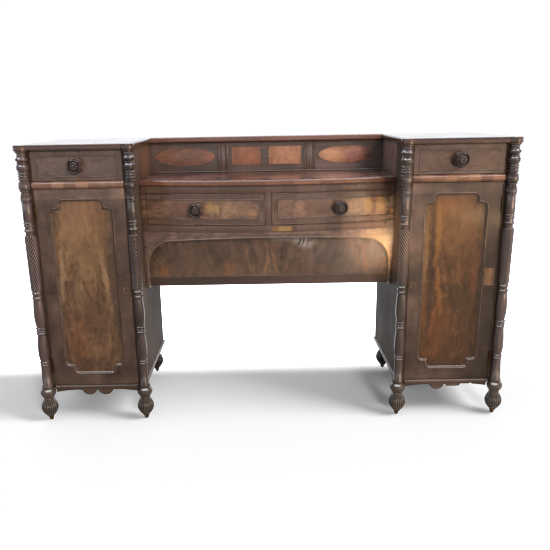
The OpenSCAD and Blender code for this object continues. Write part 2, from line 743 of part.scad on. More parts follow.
module gallery_board() color("#5f3f33") placed()
    board([glue - in_x, gallery_y, serving_z], [in_x - glue, gallery_y + gallery_t, under_top - glue]);

module gallery_cap() color("#54342a") placed()
    board([glue + top_side_lip - in_x, gallery_y - cap_lip, under_top],
        [in_x - top_side_lip - glue, back_y, top_z]);

pedestal_sides(-1);  // left_pedestal_sides
pedestal_sides(1);  // right_pedestal_sides
pedestal_top(-1);  // left_pedestal_top
pedestal_top(1);  // right_pedestal_top
pedestal_backs();
pedestal_floors();
pedestal_dividers();
pedestal_shelves();
mid_rails();
plinth_boards();
scalloped_aprons();
corner_columns();
front_feet();
back_feet();
castor_sockets();
hinge_case_leaves();
for (k = [0:1]) let (s = side_name[k], m = sides[k]) {
    door_frame(m);
    door_panel(m);
    door_hinges(m);
    door_lock(m);
    drawer_front(m);
    drawer_box(m);
    drawer_knob(m);
    centre_drawer_front(m);
    centre_drawer_box(m);
    centre_drawer_knob(m);
}
serving_top();
centre_front_rails();
arch_apron();
recess_panel();
centre_dust_board();
centre_back();
gallery_board();
gallery_cap();
for (k = [0:1], c = [0:3]) let (s = str(side_name[k], "_", corner_name[c])) {
    castor_fork(sides[k], c);
    castor_wheel(sides[k], c);
}
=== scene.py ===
import math
from functools import partial

import bmesh
import bpy
from mathutils import Matrix, Vector


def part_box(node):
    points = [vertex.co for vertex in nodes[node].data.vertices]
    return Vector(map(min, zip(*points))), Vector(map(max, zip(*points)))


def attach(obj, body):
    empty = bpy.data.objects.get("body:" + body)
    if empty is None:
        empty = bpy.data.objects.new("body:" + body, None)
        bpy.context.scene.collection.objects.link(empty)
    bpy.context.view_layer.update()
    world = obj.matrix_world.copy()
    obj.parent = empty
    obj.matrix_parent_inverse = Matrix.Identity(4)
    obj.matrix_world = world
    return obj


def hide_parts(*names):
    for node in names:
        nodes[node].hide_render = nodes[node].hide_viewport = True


# Polished mahogany pedestal sideboard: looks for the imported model, in metres, front towards -Y

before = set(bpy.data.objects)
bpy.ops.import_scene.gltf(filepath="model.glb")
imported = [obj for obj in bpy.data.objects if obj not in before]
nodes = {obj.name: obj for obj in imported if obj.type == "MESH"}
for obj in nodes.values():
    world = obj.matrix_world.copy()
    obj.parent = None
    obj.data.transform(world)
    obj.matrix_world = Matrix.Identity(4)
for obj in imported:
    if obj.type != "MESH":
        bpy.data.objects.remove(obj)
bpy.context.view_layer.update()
mm = 0.001
turn = 2 * math.pi
sides = ((-1, "left"), (1, "right"))


# Materials

def linearColour(code):
    parts = [int(code[i:i + 2], 16) / 255 for i in (1, 3, 5)]
    return [*(p / 12.92 if p <= 0.04045 else ((p + 0.055) / 1.055) ** 2.4 for p in parts), 1.0]


# Adds one node and gives its first output. Inputs come by name, or in order as a tuple; a socket is linked
def addNode(tree, kind, inputs=(), stops=None, **settings):
    node = tree.nodes.new("ShaderNode" + kind)
    for name, value in settings.items():
        setattr(node, name, value)
    for name, value in inputs.items() if isinstance(inputs, dict) else enumerate(inputs):
        if isinstance(value, bpy.types.NodeSocket):
            tree.links.new(value, node.inputs[name])
        else:
            node.inputs[name].default_value = value
    if stops:
        ramp, stops = node.color_ramp, list(stops)
        while len(ramp.elements) < len(stops):
            ramp.elements.new(0.5)
        for element, (place, code) in zip(ramp.elements, stops):
            element.position = place
            element.color = linearColour(code)
    return next((out for out in node.outputs if out.enabled), None)


def newMaterial(name):
    material = bpy.data.materials.new(name)
    material.use_nodes = True
    material.node_tree.nodes.clear()
    add = partial(addNode, material.node_tree)
    return material, add, add("TexCoord").node.outputs["Object"]


# French polish: a thin shellac coat that is duller where hands and dusters have worn it
def polish(add, place, colour, height, look):
    # Painted shade and dust in the hollows, when the look asks for it
    if "dustAndShade" in look:
        colour = hollowDustAndShade(add, colour, *look["dustAndShade"])
    worn = add("TexNoise", {"Vector": place, "Scale": 9.0, "Detail": 3.0})
    rough = add("MapRange", (worn, 0.35, 0.7, *look["rough"]))
    bump = add("Bump", {"Height": height, "Strength": 0.25, "Distance": 0.4 * mm})
    shader = add("BsdfPrincipled", {
        "Base Color": colour, "Roughness": rough, "IOR": 1.5, "Specular IOR Level": look.get("specular", 0.4),
        "Normal": bump, "Coat Weight": look["coat"], "Coat Roughness": look.get("coatRough", 0.1)})
    add("OutputMaterial", {"Surface": shader})


# Painted shade and dust: colour is darkened in the hollows that the ambient-occlusion node finds, where shade falls
# and dust and old polish gather
def hollowDustAndShade(add, colour, reach, depth):
    hollow = add("AmbientOcclusion", {"Distance": reach}, samples=6).node.outputs["AO"]
    dark = add("MapRange", (hollow, 0.25, 0.95, depth, 1.0))
    return add("VectorMath", {0: colour, "Scale": dark}, operation="SCALE")


# Painted shade in the bottoms of carved grooves that wind round an upright axis, and a painted highlight on their
# crests
def grooveShadeAndHighlight(add, place, colour, cut):
    fromAxis = add("VectorMath", (place, (*cut["axis"], 0)), operation="SUBTRACT")
    x, y, z = add("SeparateXYZ", (fromAxis,)).node.outputs
    angle = add("Math", (y, x), operation="ARCTAN2")
    wound = add("Math", (z, cut["wind"]), operation="MULTIPLY")
    phase = add("Math", (angle, cut["ridges"] / 2, wound), operation="MULTIPLY_ADD")
    wave = add("Math", (phase,), operation="COSINE")
    ridge = add("Math", (wave,), operation="ABSOLUTE")
    tone = add("MapRange", (ridge, 0.4, 0.95, cut["grooveShade"], cut["crestHighlight"]))
    above = add("Math", (z, cut["z"][0]), operation="GREATER_THAN")
    below = add("Math", (z, cut["z"][1]), operation="LESS_THAN")
    inside = add("Math", (above, below), operation="MULTIPLY")
    share = add("Mix", {"Factor": inside, "A": 1.0, "B": tone})
    return add("VectorMath", {0: colour, "Scale": share}, operation="SCALE")


# Single marks, some of the figure and some painted light and shade: each blends in a colour round (x, z), within two
# half sizes and at a lean
def marked(add, place, colour, marks):
    for x, z, halfX, halfZ, lean, code, share in marks:
        at = add("Mapping", (place, (x * mm, 0, z * mm), (0, math.radians(lean), 0), (halfX * mm, 100, halfZ * mm)),
                 vector_type="TEXTURE")
        away = add("VectorMath", (at,), operation="LENGTH")
        near = add("MapRange", (away, 0.3, 1.3, share, 0.0), interpolation_type="SMOOTHSTEP")
        colour = add("Mix", {"Factor": near, "A": colour, "B": linearColour(code)}, data_type="RGBA")
    return colour


# Straight-grained wood: streaks and long pores along one axis, and a slow change of tone over the board
def straightWood(name, look, carved=None):
    material, add, place = newMaterial(name)
    drawn = add("Mapping", {"Vector": place, "Scale": [0.05 if axis == look["grain"] else 1.0 for axis in "xyz"]})
    streak = add("TexNoise", {"Vector": drawn, "Scale": 1 / (look["streakMm"] * mm), "Detail": 5.0,
                              "Roughness": 0.62, "Distortion": 0.35})
    patina = add("TexNoise", {"Vector": place, "Scale": 4.5, "Detail": 2.0})
    tone = add("Mix", {"Factor": 0.42, "A": streak, "B": patina})
    ramp = add("ValToRGB", (tone,), zip((0.34, 0.5, 0.66), look["tones"]))
    pores = add("TexNoise", {"Vector": drawn, "Scale": 1 / (look.get("poreMm", 1.7) * mm), "Detail": 2.0})
    thin = add("MapRange", (pores, 0.36, 0.5, 0.72, 1.0))
    colour = add("VectorMath", {0: ramp, "Scale": thin}, operation="SCALE")
    colour = marked(add, place, colour, look.get("marks", ()))
    # Painted shade in the carved grooves and a painted highlight on their crests
    if carved:
        colour = grooveShadeAndHighlight(add, place, colour, carved)
    polish(add, place, colour, thin, look)
    return material


# Crossbanding: short pieces of veneer side by side, each cut across and with a tone of its own
def crossbandedWood(name, look):
    material, add, place = newMaterial(name)
    across = add("SeparateXYZ", (place,)).node.outputs[look["run"].upper()]
    waver = add("TexNoise", {"Vector": place, "Scale": 14.0, "Detail": 1.0})
    shifted = add("Math", (waver, 0.016, across), operation="MULTIPLY_ADD")
    count = add("Math", (shifted, look["pieceMm"] * mm), operation="DIVIDE")
    number = add("Math", (count,), operation="FLOOR")
    own = add("TexWhiteNoise", {"W": number}, noise_dimensions="1D")
    drawn = add("Mapping", {"Vector": place, "Scale": [1.0 if axis == look["run"] else 0.07 for axis in "xyz"]})
    streak = add("TexNoise", {"Vector": drawn, "Scale": 1 / (5 * mm), "Detail": 4.0, "Roughness": 0.6})
    calm = add("MapRange", (streak, 0.2, 0.8, 0.4, 0.6))
    tone = add("Mix", {"Factor": look["ownShare"], "A": calm, "B": own})
    ramp = add("ValToRGB", (tone,), zip((0.12, 0.5, 0.9), look["tones"]))
    inPiece = add("Math", (count,), operation="FRACT")
    joint = add("MapRange", (inPiece, 0.0, 0.05, 0.62, 1.0))
    colour = add("VectorMath", {0: ramp, "Scale": joint}, operation="SCALE")
    polish(add, place, marked(add, place, colour, look.get("marks", ())), streak, look)
    return material


# Flame veneer, cut from below a fork of the trunk: streaks spread from a spine, with mottle and cross bands
def flameWood(name, look):
    material, add, place = newMaterial(name)
    swayMm = look.get("swayMm", 90) * mm
    sway = add("TexNoise", {"Vector": place, "Scale": look.get("sway", 5.5), "Detail": 2.0, "W": look["seed"]},
               noise_dimensions="4D").node.outputs["Color"]
    moved = add("VectorMath", (sway, [swayMm] * 3, place), operation="MULTIPLY_ADD")
    centred = add("VectorMath", (moved, [c + swayMm / 2 for c in look["centre"]]), operation="SUBTRACT")
    x, _, z = add("SeparateXYZ", (centred,)).node.outputs
    side, rise = (x, z) if look["grain"] == "z" else (z, x)
    out = add("Math", (side,), operation="ABSOLUTE")
    outShare = add("Math", (out, 1 / look["half"]), operation="MULTIPLY")
    riseShare = add("Math", (rise, 1 / look["reach"]), operation="MULTIPLY")
    spread = add("Math", (riseShare, 0.35, 1.0), operation="MULTIPLY_ADD")
    lane = add("Math", (outShare, spread), operation="DIVIDE")
    curl = add("Math", (outShare, 1.5), operation="POWER")
    bend = add("Math", (curl, -look.get("bend", 0.22), riseShare), operation="MULTIPLY_ADD")
    streakAt = add("CombineXYZ", (lane, bend))
    streakMap = add("Mapping", {"Vector": streakAt, "Scale": [look.get("streaks", 5.0), 1.8, 1.0]})
    streak = add("TexNoise", {"Vector": streakMap, "Scale": 1.0, "Detail": 6.0, "Roughness": 0.62,
                              "Distortion": 1.4, "W": look["seed"]}, noise_dimensions="4D")
    stretch = [0.55 if axis == look["grain"] else 1.0 for axis in "xyz"]
    mottleAt = add("Mapping", {"Vector": moved, "Scale": stretch})
    mottle = add("TexNoise", {"Vector": mottleAt, "Scale": 1 / (look.get("mottleMm", 34) * mm), "Detail": 6.0,
                              "Roughness": 0.6, "Distortion": 1.6, "W": look["seed"] + 3}, noise_dimensions="4D")
    mixed = add("Mix", {"Factor": 0.55, "A": streak, "B": mottle})
    heart = add("MapRange", (outShare, 0.1, 1.05, 0.03, -look.get("edge", 0.06)), interpolation_type="SMOOTHSTEP")
    lift = add("Math", (riseShare, look.get("topLift", 0.0), heart), operation="MULTIPLY_ADD")
    tone = add("Math", (mixed, lift), operation="ADD")
    colour = add("ValToRGB", (tone,), zip(look.get("stops", (0.3, 0.44, 0.56, 0.72)), look["tones"]))
    if "marks" in look:
        ripple = add("TexNoise", {"Vector": place, "Scale": 22.0, "Detail": 3.0}).node.outputs["Color"]
        rippled = add("VectorMath", (ripple, [30 * mm] * 3, place), operation="MULTIPLY_ADD")
        wavy = add("VectorMath", (rippled, [15 * mm] * 3), operation="SUBTRACT")
        figured = marked(add, wavy, colour, look["marks"])
        if "front" in look:  # the marks stay on the face, not on the board's back
            depth = add("SeparateXYZ", (place,)).node.outputs["Y"]
            face = add("MapRange", (depth, look["front"] + 2 * mm, look["front"] + 4 * mm, 1.0, 0.0))
            figured = add("Mix", {"Factor": face, "A": colour, "B": figured}, data_type="RGBA")
        shade = add("MapRange", (mixed, 0.36, 0.62, 0.82, 1.14))
        colour = add("VectorMath", {0: figured, "Scale": shade}, operation="SCALE")
    # Real pores are finer; these are coarse enough to show
    pores = add("TexNoise", {"Vector": place, "Scale": 1 / (2.4 * mm), "Detail": 2.0})
    fleck = add("MapRange", (pores, 0.3, 0.5, 0.82, 1.0))
    colour = add("VectorMath", {0: colour, "Scale": fleck}, operation="SCALE")
    polish(add, place, colour, fleck, look)
    return material


# Cast and lacquered brass, gone brown where it isn't rubbed, with painted shade and dust in its hollows
def agedBrass(name, tones, rough):
    material, add, place = newMaterial(name)
    tarnish = add("TexNoise", {"Vector": place, "Scale": 160.0, "Detail": 4.0})
    ramp = add("ValToRGB", (tarnish,), zip((0.35, 0.65), tones))
    shader = add("BsdfPrincipled", {
        "Base Color": hollowDustAndShade(add, ramp, 4 * mm, 0.35), "Metallic": 0.9,
        "Roughness": add("MapRange", (tarnish, 0.0, 1.0, *rough))})
    add("OutputMaterial", {"Surface": shader})
    return material


polishedFrame = {"tones": ("#342a26", "#4c3f39", "#62524b"), "streakMm": 9, "rough": (0.26, 0.42), "coat": 0.25,
                 "specular": 0.35, "dustAndShade": (14 * mm, 0.55)}
frameLevel = straightWood("frame mahogany level", {**polishedFrame, "grain": "x"})
sideUpright = straightWood("side mahogany", {
    **polishedFrame, "rough": (0.6, 0.72), "coat": 0.0, "specular": 0.16, "tones": ("#2f2722", "#433830", "#574a40"),
    "grain": "z", "streakMm": 16})
topPolished = straightWood("top mahogany", {
    "tones": ("#261a17", "#3d271c", "#503527"), "grain": "x", "streakMm": 12, "rough": (0.16, 0.3), "coat": 0.5,
    "specular": 0.5})
# The serving top's two marks are painted light: painted shade over the left half and a lighter painted patch over the
# right
servingPolished = straightWood("serving top mahogany", {
    "tones": ("#3e2a28", "#593b35", "#705247"), "grain": "x", "streakMm": 14, "rough": (0.2, 0.34), "coat": 0.45,
    "coatRough": 0.12, "specular": 0.45,
    "marks": [(-300, 945, 260, 60, 0, "#4d3530", 0.4), (340, 945, 220, 60, 0, "#805f55", 0.6)]})
# The gallery board's two marks are painted light: painted shade low on the left and a lighter painted patch low on
# the right
galleryLevel = straightWood("gallery mahogany", {
    "tones": ("#352d2c", "#4c413e", "#61524e"), "grain": "x", "streakMm": 9, "rough": (0.28, 0.42), "coat": 0.25,
    "specular": 0.35, "dustAndShade": (20 * mm, 0.5),
    "marks": [(-300, 965, 240, 60, 0, "#3d3331", 0.6), (350, 962, 200, 36, 0, "#6d5c5c", 0.65)]})
turnedLook = {"tones": ("#332624", "#4b3c37", "#655249"), "grain": "z", "streakMm": 9, "rough": (0.16, 0.28),
              "coat": 0.6, "coatRough": 0.07, "specular": 0.5, "dustAndShade": (7 * mm, 0.2)}
turnedUpright = straightWood("turned mahogany", turnedLook)
backFootWood = straightWood("back foot wood", {
    "tones": ("#1f1714", "#2e2320", "#3c2e29"), "grain": "z", "streakMm": 7, "rough": (0.3, 0.45), "coat": 0.2,
    "dustAndShade": (8 * mm, 0.4)})
knobWood = straightWood("knob ebonised mahogany", {
    "tones": ("#1c1413", "#2b2020", "#3a2c2a"), "grain": "y", "streakMm": 5, "rough": (0.3, 0.42), "coat": 0.45,
    "coatRough": 0.12, "specular": 0.5, "dustAndShade": (5 * mm, 0.25)})
band = {"tones": ("#40322d", "#564640", "#6c5c55"), "run": "x", "pieceMm": 46, "ownShare": 0.3,
        "rough": (0.26, 0.4), "coat": 0.28, "specular": 0.35, "dustAndShade": (10 * mm, 0.55)}
bandAcross = crossbandedWood("crossbanded mahogany", band)
bandUp = crossbandedWood("crossbanded mahogany ends", {**band, "run": "z"})
beadWood = straightWood("bead mahogany", {
    "tones": ("#372b25", "#4f4139", "#6b5a4f"), "grain": "x", "streakMm": 6, "rough": (0.2, 0.3), "coat": 0.6,
    "coatRough": 0.06, "specular": 0.5, "dustAndShade": (5 * mm, 0.25)})
stringWood = straightWood("boxwood string", {
    "tones": ("#665a4d", "#81735f", "#958670"), "grain": "x", "streakMm": 6, "rough": (0.3, 0.4), "coat": 0.3})
keyWood = straightWood("key patch veneer", {
    "tones": ("#453930", "#5c4c3e", "#725f4c"), "grain": "z", "streakMm": 6, "rough": (0.3, 0.42), "coat": 0.25,
    "specular": 0.35})
goldPatchWood = crossbandedWood("golden repair veneer", {
    "tones": ("#5b462f", "#7a6040", "#92774e"), "pieceMm": 24, "ownShare": 0.5, "run": "x", "rough": (0.3, 0.42),
    "coat": 0.25})
drawerOak = straightWood("drawer oak", {
    "tones": ("#7c5d3e", "#977449", "#b08c5e"), "grain": "y", "streakMm": 10, "poreMm": 2.2, "rough": (0.5, 0.66),
    "coat": 0.0, "specular": 0.3})
carcasePine = straightWood("carcase pine", {
    "tones": ("#6f5238", "#8b6a49", "#a5835e"), "grain": "x", "streakMm": 22, "poreMm": 2.5, "rough": (0.55, 0.7),
    "coat": 0.0, "specular": 0.25, "dustAndShade": (30 * mm, 0.6)})
backPine = straightWood("back pine", {
    "tones": ("#4f3a29", "#69503a", "#80654b"), "grain": "z", "streakMm": 20, "poreMm": 2.5, "rough": (0.6, 0.75),
    "coat": 0.0, "specular": 0.2, "dustAndShade": (12 * mm, 0.4)})
hingeBrass = agedBrass("hinge brass", ("#33281c", "#5e4a2c"), (0.5, 0.3))
castorBrass = agedBrass("castor brass", ("#3e3322", "#8c7443"), (0.55, 0.3))
print("materials made")


# Shapes: each returns a list of points and a list of faces

def joined(*shapes):
    points, faces = [], []
    for somePoints, someFaces in shapes:
        start = len(points)
        points += somePoints
        faces += [tuple(start + i for i in face) for face in someFaces]
    return points, faces


def bridged(rows, closedAround=False):
    size, count = len(rows[0]), len(rows)
    points = [p for row in rows for p in row]
    faces = []
    for r in range(count if closedAround else count - 1):
        low, high = r * size, (r + 1) % count * size
        faces += [(low + k, low + (k + 1) % size, high + (k + 1) % size, high + k) for k in range(size)]
    if not closedAround:
        faces += [tuple(range(size - 1, -1, -1)), tuple(range(len(points) - size, len(points)))]
    return points, faces


# A piece turned round the z axis; carve(angle, radius, height) may give the point another radius and height
def turned(profile, steps, centre, carve=lambda angle, radius, height: (radius, height)):
    rows = []
    for radius, height in profile:
        angles = [turn * k / steps for k in range(steps)]
        carved = [(a, *carve(a, radius, height)) for a in angles]
        rows.append([(centre[0] + r * math.cos(a), centre[1] + r * math.sin(a), h) for a, r, h in carved])
    return bridged(rows)


# A plate from its outline: layers are (inset, depth) from one face to the other, and place gives (x, y, z)
def plate(outline, layers, place):
    return bridged([[place(u, v, depth) for u, v in insetPath(outline, inset)] for inset, depth in layers])


def insetPath(path, inset, closed=True):
    moved = []
    count = len(path)
    for i, here in enumerate(path):
        before = Vector(path[i - 1]) if closed or i else None
        after = Vector(path[(i + 1) % count]) if closed or i < count - 1 else None
        here = Vector(here)
        runs = [d.normalized() for d in (here - before if before else None, after - here if after else None) if d]
        normals = [Vector((-d.y, d.x)) for d in runs]
        mitre = sum(normals, Vector((0, 0)))
        if mitre.length < 1e-6:
            mitre = normals[0]
        mitre.normalize()
        moved.append(here + mitre / max(0.35, mitre.dot(normals[0])) * inset)
    return moved


# Keeps the points of a path and adds more on its long runs, so that it can follow the bow
def divided(path, step, closed=True):
    result = []
    count = len(path)
    for i in range(count if closed else count - 1):
        a, b = Vector(path[i]), Vector(path[(i + 1) % count])
        parts = max(1, math.ceil((b - a).length / step))
        result += [a.lerp(b, k / parts) for k in range(parts)]
    return result if closed else result + [Vector(path[-1])]


# A moulding that runs along a path of (x, z) on a face; the profile is (side, lift), lift towards the viewer
def mouldingOn(path, profile, faceAt, closed=True):
    offsets = [(lift, insetPath(path, side, closed)) for side, lift in profile]
    rows = [[(moved[i].x, faceAt(moved[i].x) - lift, moved[i].y) for lift, moved in offsets]
            for i in range(len(path))]
    return bridged(rows, closedAround=closed)


def halfRound(width, rise, steps=6):
    arc = [(-width / 2 * math.cos(a), rise * math.sin(a)) for a in spaced(0, math.pi, steps)]
    return arc + [(width / 2, -0.6 * mm), (-width / 2, -0.6 * mm)]


# A board along x; section(x) gives its outline as (y, z)
def boardAlongX(stations, section):
    return bridged([[(x, y, z) for y, z in section(x)] for x in stations])


# A thin sheet of veneer on a face, between two heights that may change along x
def veneer(stations, low, high, faceAt, lift=0.5 * mm):
    def section(x):
        bottom, top = (edge(x) if callable(edge) else edge for edge in (low, high))
        back, face = faceAt(x) + 0.4 * mm, faceAt(x) - lift
        return [(back, bottom), (face, bottom), (face, top), (back, top)]
    return boardAlongX(stations, section)


def rectangle(x0, x1, z0, z1):
    return [(x0, z0), (x1, z0), (x1, z1), (x0, z1)]


def spaced(low, high, count):
    return [low + (high - low) * k / count for k in range(count + 1)]


def mirrored(shape, side):
    points, faces = shape
    return [(side * x, y, z) for x, y, z in points], faces


def addPiece(name, shape, material, body="cabinet", standsFor=(), sharp=38):
    points, faces = shape
    mesh = bpy.data.meshes.new(name)
    mesh.from_pydata([tuple(p) for p in points], [], faces)
    work = bmesh.new()
    work.from_mesh(mesh)
    bmesh.ops.remove_doubles(work, verts=work.verts, dist=0.002 * mm)
    bmesh.ops.dissolve_degenerate(work, edges=work.edges, dist=0.002 * mm)
    bmesh.ops.recalc_face_normals(work, faces=work.faces)
    work.to_mesh(mesh)
    work.free()
    for face in mesh.polygons:
        face.use_smooth = True
    mesh.set_sharp_from_angle(angle=math.radians(sharp))
    mesh.materials.append(material)
    piece = bpy.data.objects.new(name, mesh)
    bpy.context.scene.collection.objects.link(piece)
    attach(piece, body)
    if standsFor:
        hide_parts(*standsFor)


def dress(node, material):
    nodes[node].data.materials.clear()
    nodes[node].data.materials.append(material)


# The main lines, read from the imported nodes

doorLow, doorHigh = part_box("right_door_frame")
drawerLow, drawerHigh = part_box("right_drawer_front")
topLow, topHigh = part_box("right_pedestal_top")
railLow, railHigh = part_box("mid_rails")
footLow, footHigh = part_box("front_feet")
frontY = doorLow.y  # the plane of doors and drawer fronts
pedestalX = (doorLow.x + doorHigh.x) / 2
columnY = (footLow.y + footHigh.y) / 2
outerX = footHigh.x - 31.5 * mm  # the axis of an outer column, in from its foot's widest ring
innerX = 2 * pedestalX - outerX
spots = [(side, sideName, place, side * x) for side, sideName in sides
         for place, x in (("outer", outerX), ("inner", innerX))]


def onFront(x):
    return frontY


# Turnings, as (radius, height) from the top down; the sizes here are millimetres

def roll(z, height, radius, rise, steps=8):
    return [(radius + rise * math.sin(math.pi * i / steps), z + height / 2 - height * i / steps)
            for i in range(steps + 1)]


def swell(top, low, rTop, rMid, rLow, peak=0.5, steps=14):
    points = []
    for i in range(steps + 1):
        t = i / steps
        u, end = (t / peak, rTop) if t < peak else ((1 - t) / (1 - peak), rLow)
        points.append((end + (rMid - end) * math.sin(math.pi / 2 * u), top + (low - top) * t))
    return points


def hollow(top, low, rTop, rLow, steps=8):
    return [(rLow + (rTop - rLow) * (1 - math.sin(math.pi / 2 * i / steps)), top + (low - top) * i / steps)
            for i in range(steps + 1)]


def inMetres(profile):
    return [(r * mm, z * mm) for r, z in profile]


column = {
    "top": 1078, "base": 146, "ring": 20, "neck": 15.5, "shaft": 17.5, "rail": 938,
    "rope": (766, 548), "ropeRadius": (20.5, 18.6), "ropeRidges": 13, "ropePitch": 14.8, "ropeDepth": 2.0,
    "leaf": (928, 900), "leaves": 8, "leafDepth": 1.5,
}


def upperColumn():
    top, ring, neck, shaft, rail = (column[k] for k in ("top", "ring", "neck", "shaft", "rail"))
    return [
        (0.5, top), (ring + 1, top), (ring + 1, top - 5), (ring, top - 6), (neck + 1, top - 8), (neck + 1, top - 20),
        *roll(top - 30, 16, neck + 2, ring - neck + 1, 10), (neck + 1, top - 41),
        *roll(top - 44, 4, neck + 3, 2, 6), (neck + 2, top - 48),
        *swell(top - 50, top - 75, ring - 1, ring + 2.5, neck + 1, 0.3),
        *[p for rise in (60, 50, 40) for p in roll(rail + rise, 7.5, neck + 1, 4)],
        (neck + 2, rail + 29), *roll(rail + 14, 27, 20.3, 1.7),
        *roll(rail - 5, 6, neck + 1, ring - neck - 1), (neck, rail - 10),
        *hollow(rail - 11, rail - 38, neck - 0.5, neck + 4.5, 10),
        *roll(rail - 43, 6, neck + 1.5, ring - neck - 1), (shaft, rail - 48), (shaft + 0.5, rail - 114),
        *roll(rail - 123, 7.5, shaft - 1, ring - shaft + 1), *roll(rail - 134, 7.5, shaft - 1, ring - shaft + 1),
        (shaft - 1, rail - 146), *roll(rail - 153, 9, shaft - 1, ring - shaft + 1),
        (shaft - 2, rail - 160), (shaft - 2, rail - 172),
    ]


def ropeLength():
    high, low = column["rope"]
    wide, narrow = column["ropeRadius"]
    body = [(wide + (narrow - wide) * k / 150, high - 3 + (low - high + 6) * k / 150) for k in range(151)]
    return [(wide - 3, high), (wide - 1, high - 0.6), *body, (narrow - 0.8, low + 0.6), (narrow - 2, low)]


def lowerColumn():
    base, ring, neck, shaft, rail = (column[k] for k in ("base", "ring", "neck", "shaft", "rail"))
    return [
        (shaft - 2, rail - 390), (shaft - 2, rail - 392), *roll(rail - 398, 9, shaft - 1, ring - shaft + 0.5),
        (neck + 1, rail - 404), (neck + 1, rail - 411), *roll(rail - 418, 10, neck + 1, ring - neck - 1.5),
        *swell(rail - 425, rail - 536, neck + 1, 20.5, neck, 0.6),
        *[p for d, h in ((542, 7.5), (552, 7.5), (563, 9)) for p in roll(rail - d, h, neck, ring - neck - 1)],
        *swell(rail - 569, rail - 679, neck, 20, neck, 0.65),
        *roll(rail - 685, 8, neck, ring - neck - 2), *roll(rail - 695, 7, neck, ring - neck - 2),
        (neck, rail - 702), (shaft, base + 9), (shaft + 2, base + 6), (shaft + 2, base), (0.5, base),
    ]


def ropeCarving(hand):
    high, low = (v * mm for v in column["rope"])

    def carve(angle, radius, height):
        phase = column["ropeRidges"] * angle + hand * turn * height / (column["ropePitch"] * mm)
        ends = min(1, (high - height) / (6 * mm), (height - low) / (6 * mm))
        ridge = abs(math.cos(phase / 2)) ** 0.7 - 0.75
        return radius + column["ropeDepth"] * 1.6 * mm * ridge * max(0, ends), height

    return carve


def leafCarving(angle, radius, height):
    high, low = (v * mm for v in column["leaf"])
    if low < height < high:
        share = math.sin(math.pi * (high - height) / (high - low))
        radius += column["leafDepth"] * mm * share * (abs(math.cos(column["leaves"] * angle / 2)) - 0.5)
    return radius, height


# Painted light: each column has tones of its own, lighter or darker as the light falls on it
columnLitTones = {"left outer": ("#352b2c", "#4c4041", "#625554"), "left inner": ("#251e1e", "#372f2e", "#4c423f"),
               "right inner": ("#2c2524", "#413837", "#574c48"), "right outer": ("#2a2425", "#42393b", "#5e5453")}
for side, sideName, place, x in spots:
    hand = -1 if place == "outer" else 1  # the inner ropes run against the outer ones
    high, low = (v * mm for v in column["rope"])
    # Each column's material carries its painted light, with painted shade in the rope's grooves and a painted
    # highlight on its crests
    carvedWood = straightWood(
        f"carved mahogany {sideName} {place}", {**turnedLook, "tones": columnLitTones[f"{sideName} {place}"]},
        {
            "axis": (x, columnY), "ridges": column["ropeRidges"], "wind": hand * math.pi / (column["ropePitch"] * mm),
            "z": (low + 3 * mm, high - 3 * mm), "grooveShade": 0.03, "crestHighlight": 2.1})
    shape = joined(
        turned(inMetres(upperColumn()), 64, (x, columnY), leafCarving),
        turned(inMetres(ropeLength()), column["ropeRidges"] * 7, (x, columnY), ropeCarving(hand)),
        turned(inMetres(lowerColumn()), 64, (x, columnY)))
    addPiece(f"{sideName}_{place}_column", shape, carvedWood, standsFor=["corner_columns"], sharp=50)
print("columns turned")


# Feet: a cup, a waist and a melon with reeds; the reeds fade out at both its ends

foot = {"seat": 21.5, "cup": 29, "waist": 18, "waistZ": 95, "melon": 31.0, "low": 20.5, "reeds": 20,
        "reedDepth": 1.9, "frontTop": 146, "backTop": 131, "backX": {"outer": 0.866, "inner": 0.544}}


def footProfile(top):
    return [
        (0.5, top), (foot["seat"], top), (foot["seat"], top - 4), (foot["seat"] - 1.5, top - 6),
        *swell(top - 7, foot["waistZ"] + 5, foot["seat"] - 1, foot["cup"], foot["waist"], 0.35, 16),
        *roll(foot["waistZ"] + 1, 6, foot["waist"] - 0.5, 1.5, 6),
        *swell(foot["waistZ"] - 3, foot["low"], foot["waist"], foot["melon"], 12, 0.5, 26), (4, foot["low"]),
    ]


def reedCarving(angle, radius, height):
    high, low = (foot["waistZ"] - 4) * mm, (foot["low"] + 2) * mm
    if low < height < high:
        share = math.sin(math.pi * (high - height) / (high - low)) ** 0.5
        ridge = abs(math.cos(foot["reeds"] * angle / 2)) ** 0.8 - 0.85
        radius += foot["reedDepth"] * 1.7 * mm * share * ridge
    return radius, height


for side, sideName, place, x in spots:
    # The reeds get painted shade in their grooves and a painted highlight on their crests
    reededWood = straightWood(
        f"reeded mahogany {sideName} {place}", {**turnedLook, "tones": ("#2a2523", "#403935", "#574e48")},
        {"axis": (x, columnY), "ridges": foot["reeds"], "wind": 0, "z": (0.026, 0.088),
                            "grooveShade": 0.2, "crestHighlight": 1.15})
    addPiece(f"{sideName}_{place}_front_foot",
             turned(inMetres(footProfile(foot["frontTop"])), foot["reeds"] * 7, (x, columnY), reedCarving),
             reededWood, standsFor=["front_feet"], sharp=60)
backFootLow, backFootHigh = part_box("back_feet")
backFootY = (backFootLow.y + backFootHigh.y) / 2
for side, sideName, place, x in spots:
    spot = (side * foot["backX"][place], backFootY)
    addPiece(f"{sideName}_{place}_back_foot",
             turned(inMetres(footProfile(foot["backTop"])), foot["reeds"] * 5, spot, reedCarving),
             backFootWood, standsFor=["back_feet"], sharp=60)
print("feet turned")


# Pedestal tops, with a round ear over each column

ear = {"radius": 26 * mm, "steps": 20, "side": 8 * mm, "front": 12 * mm}  # the ear stands out past side and front


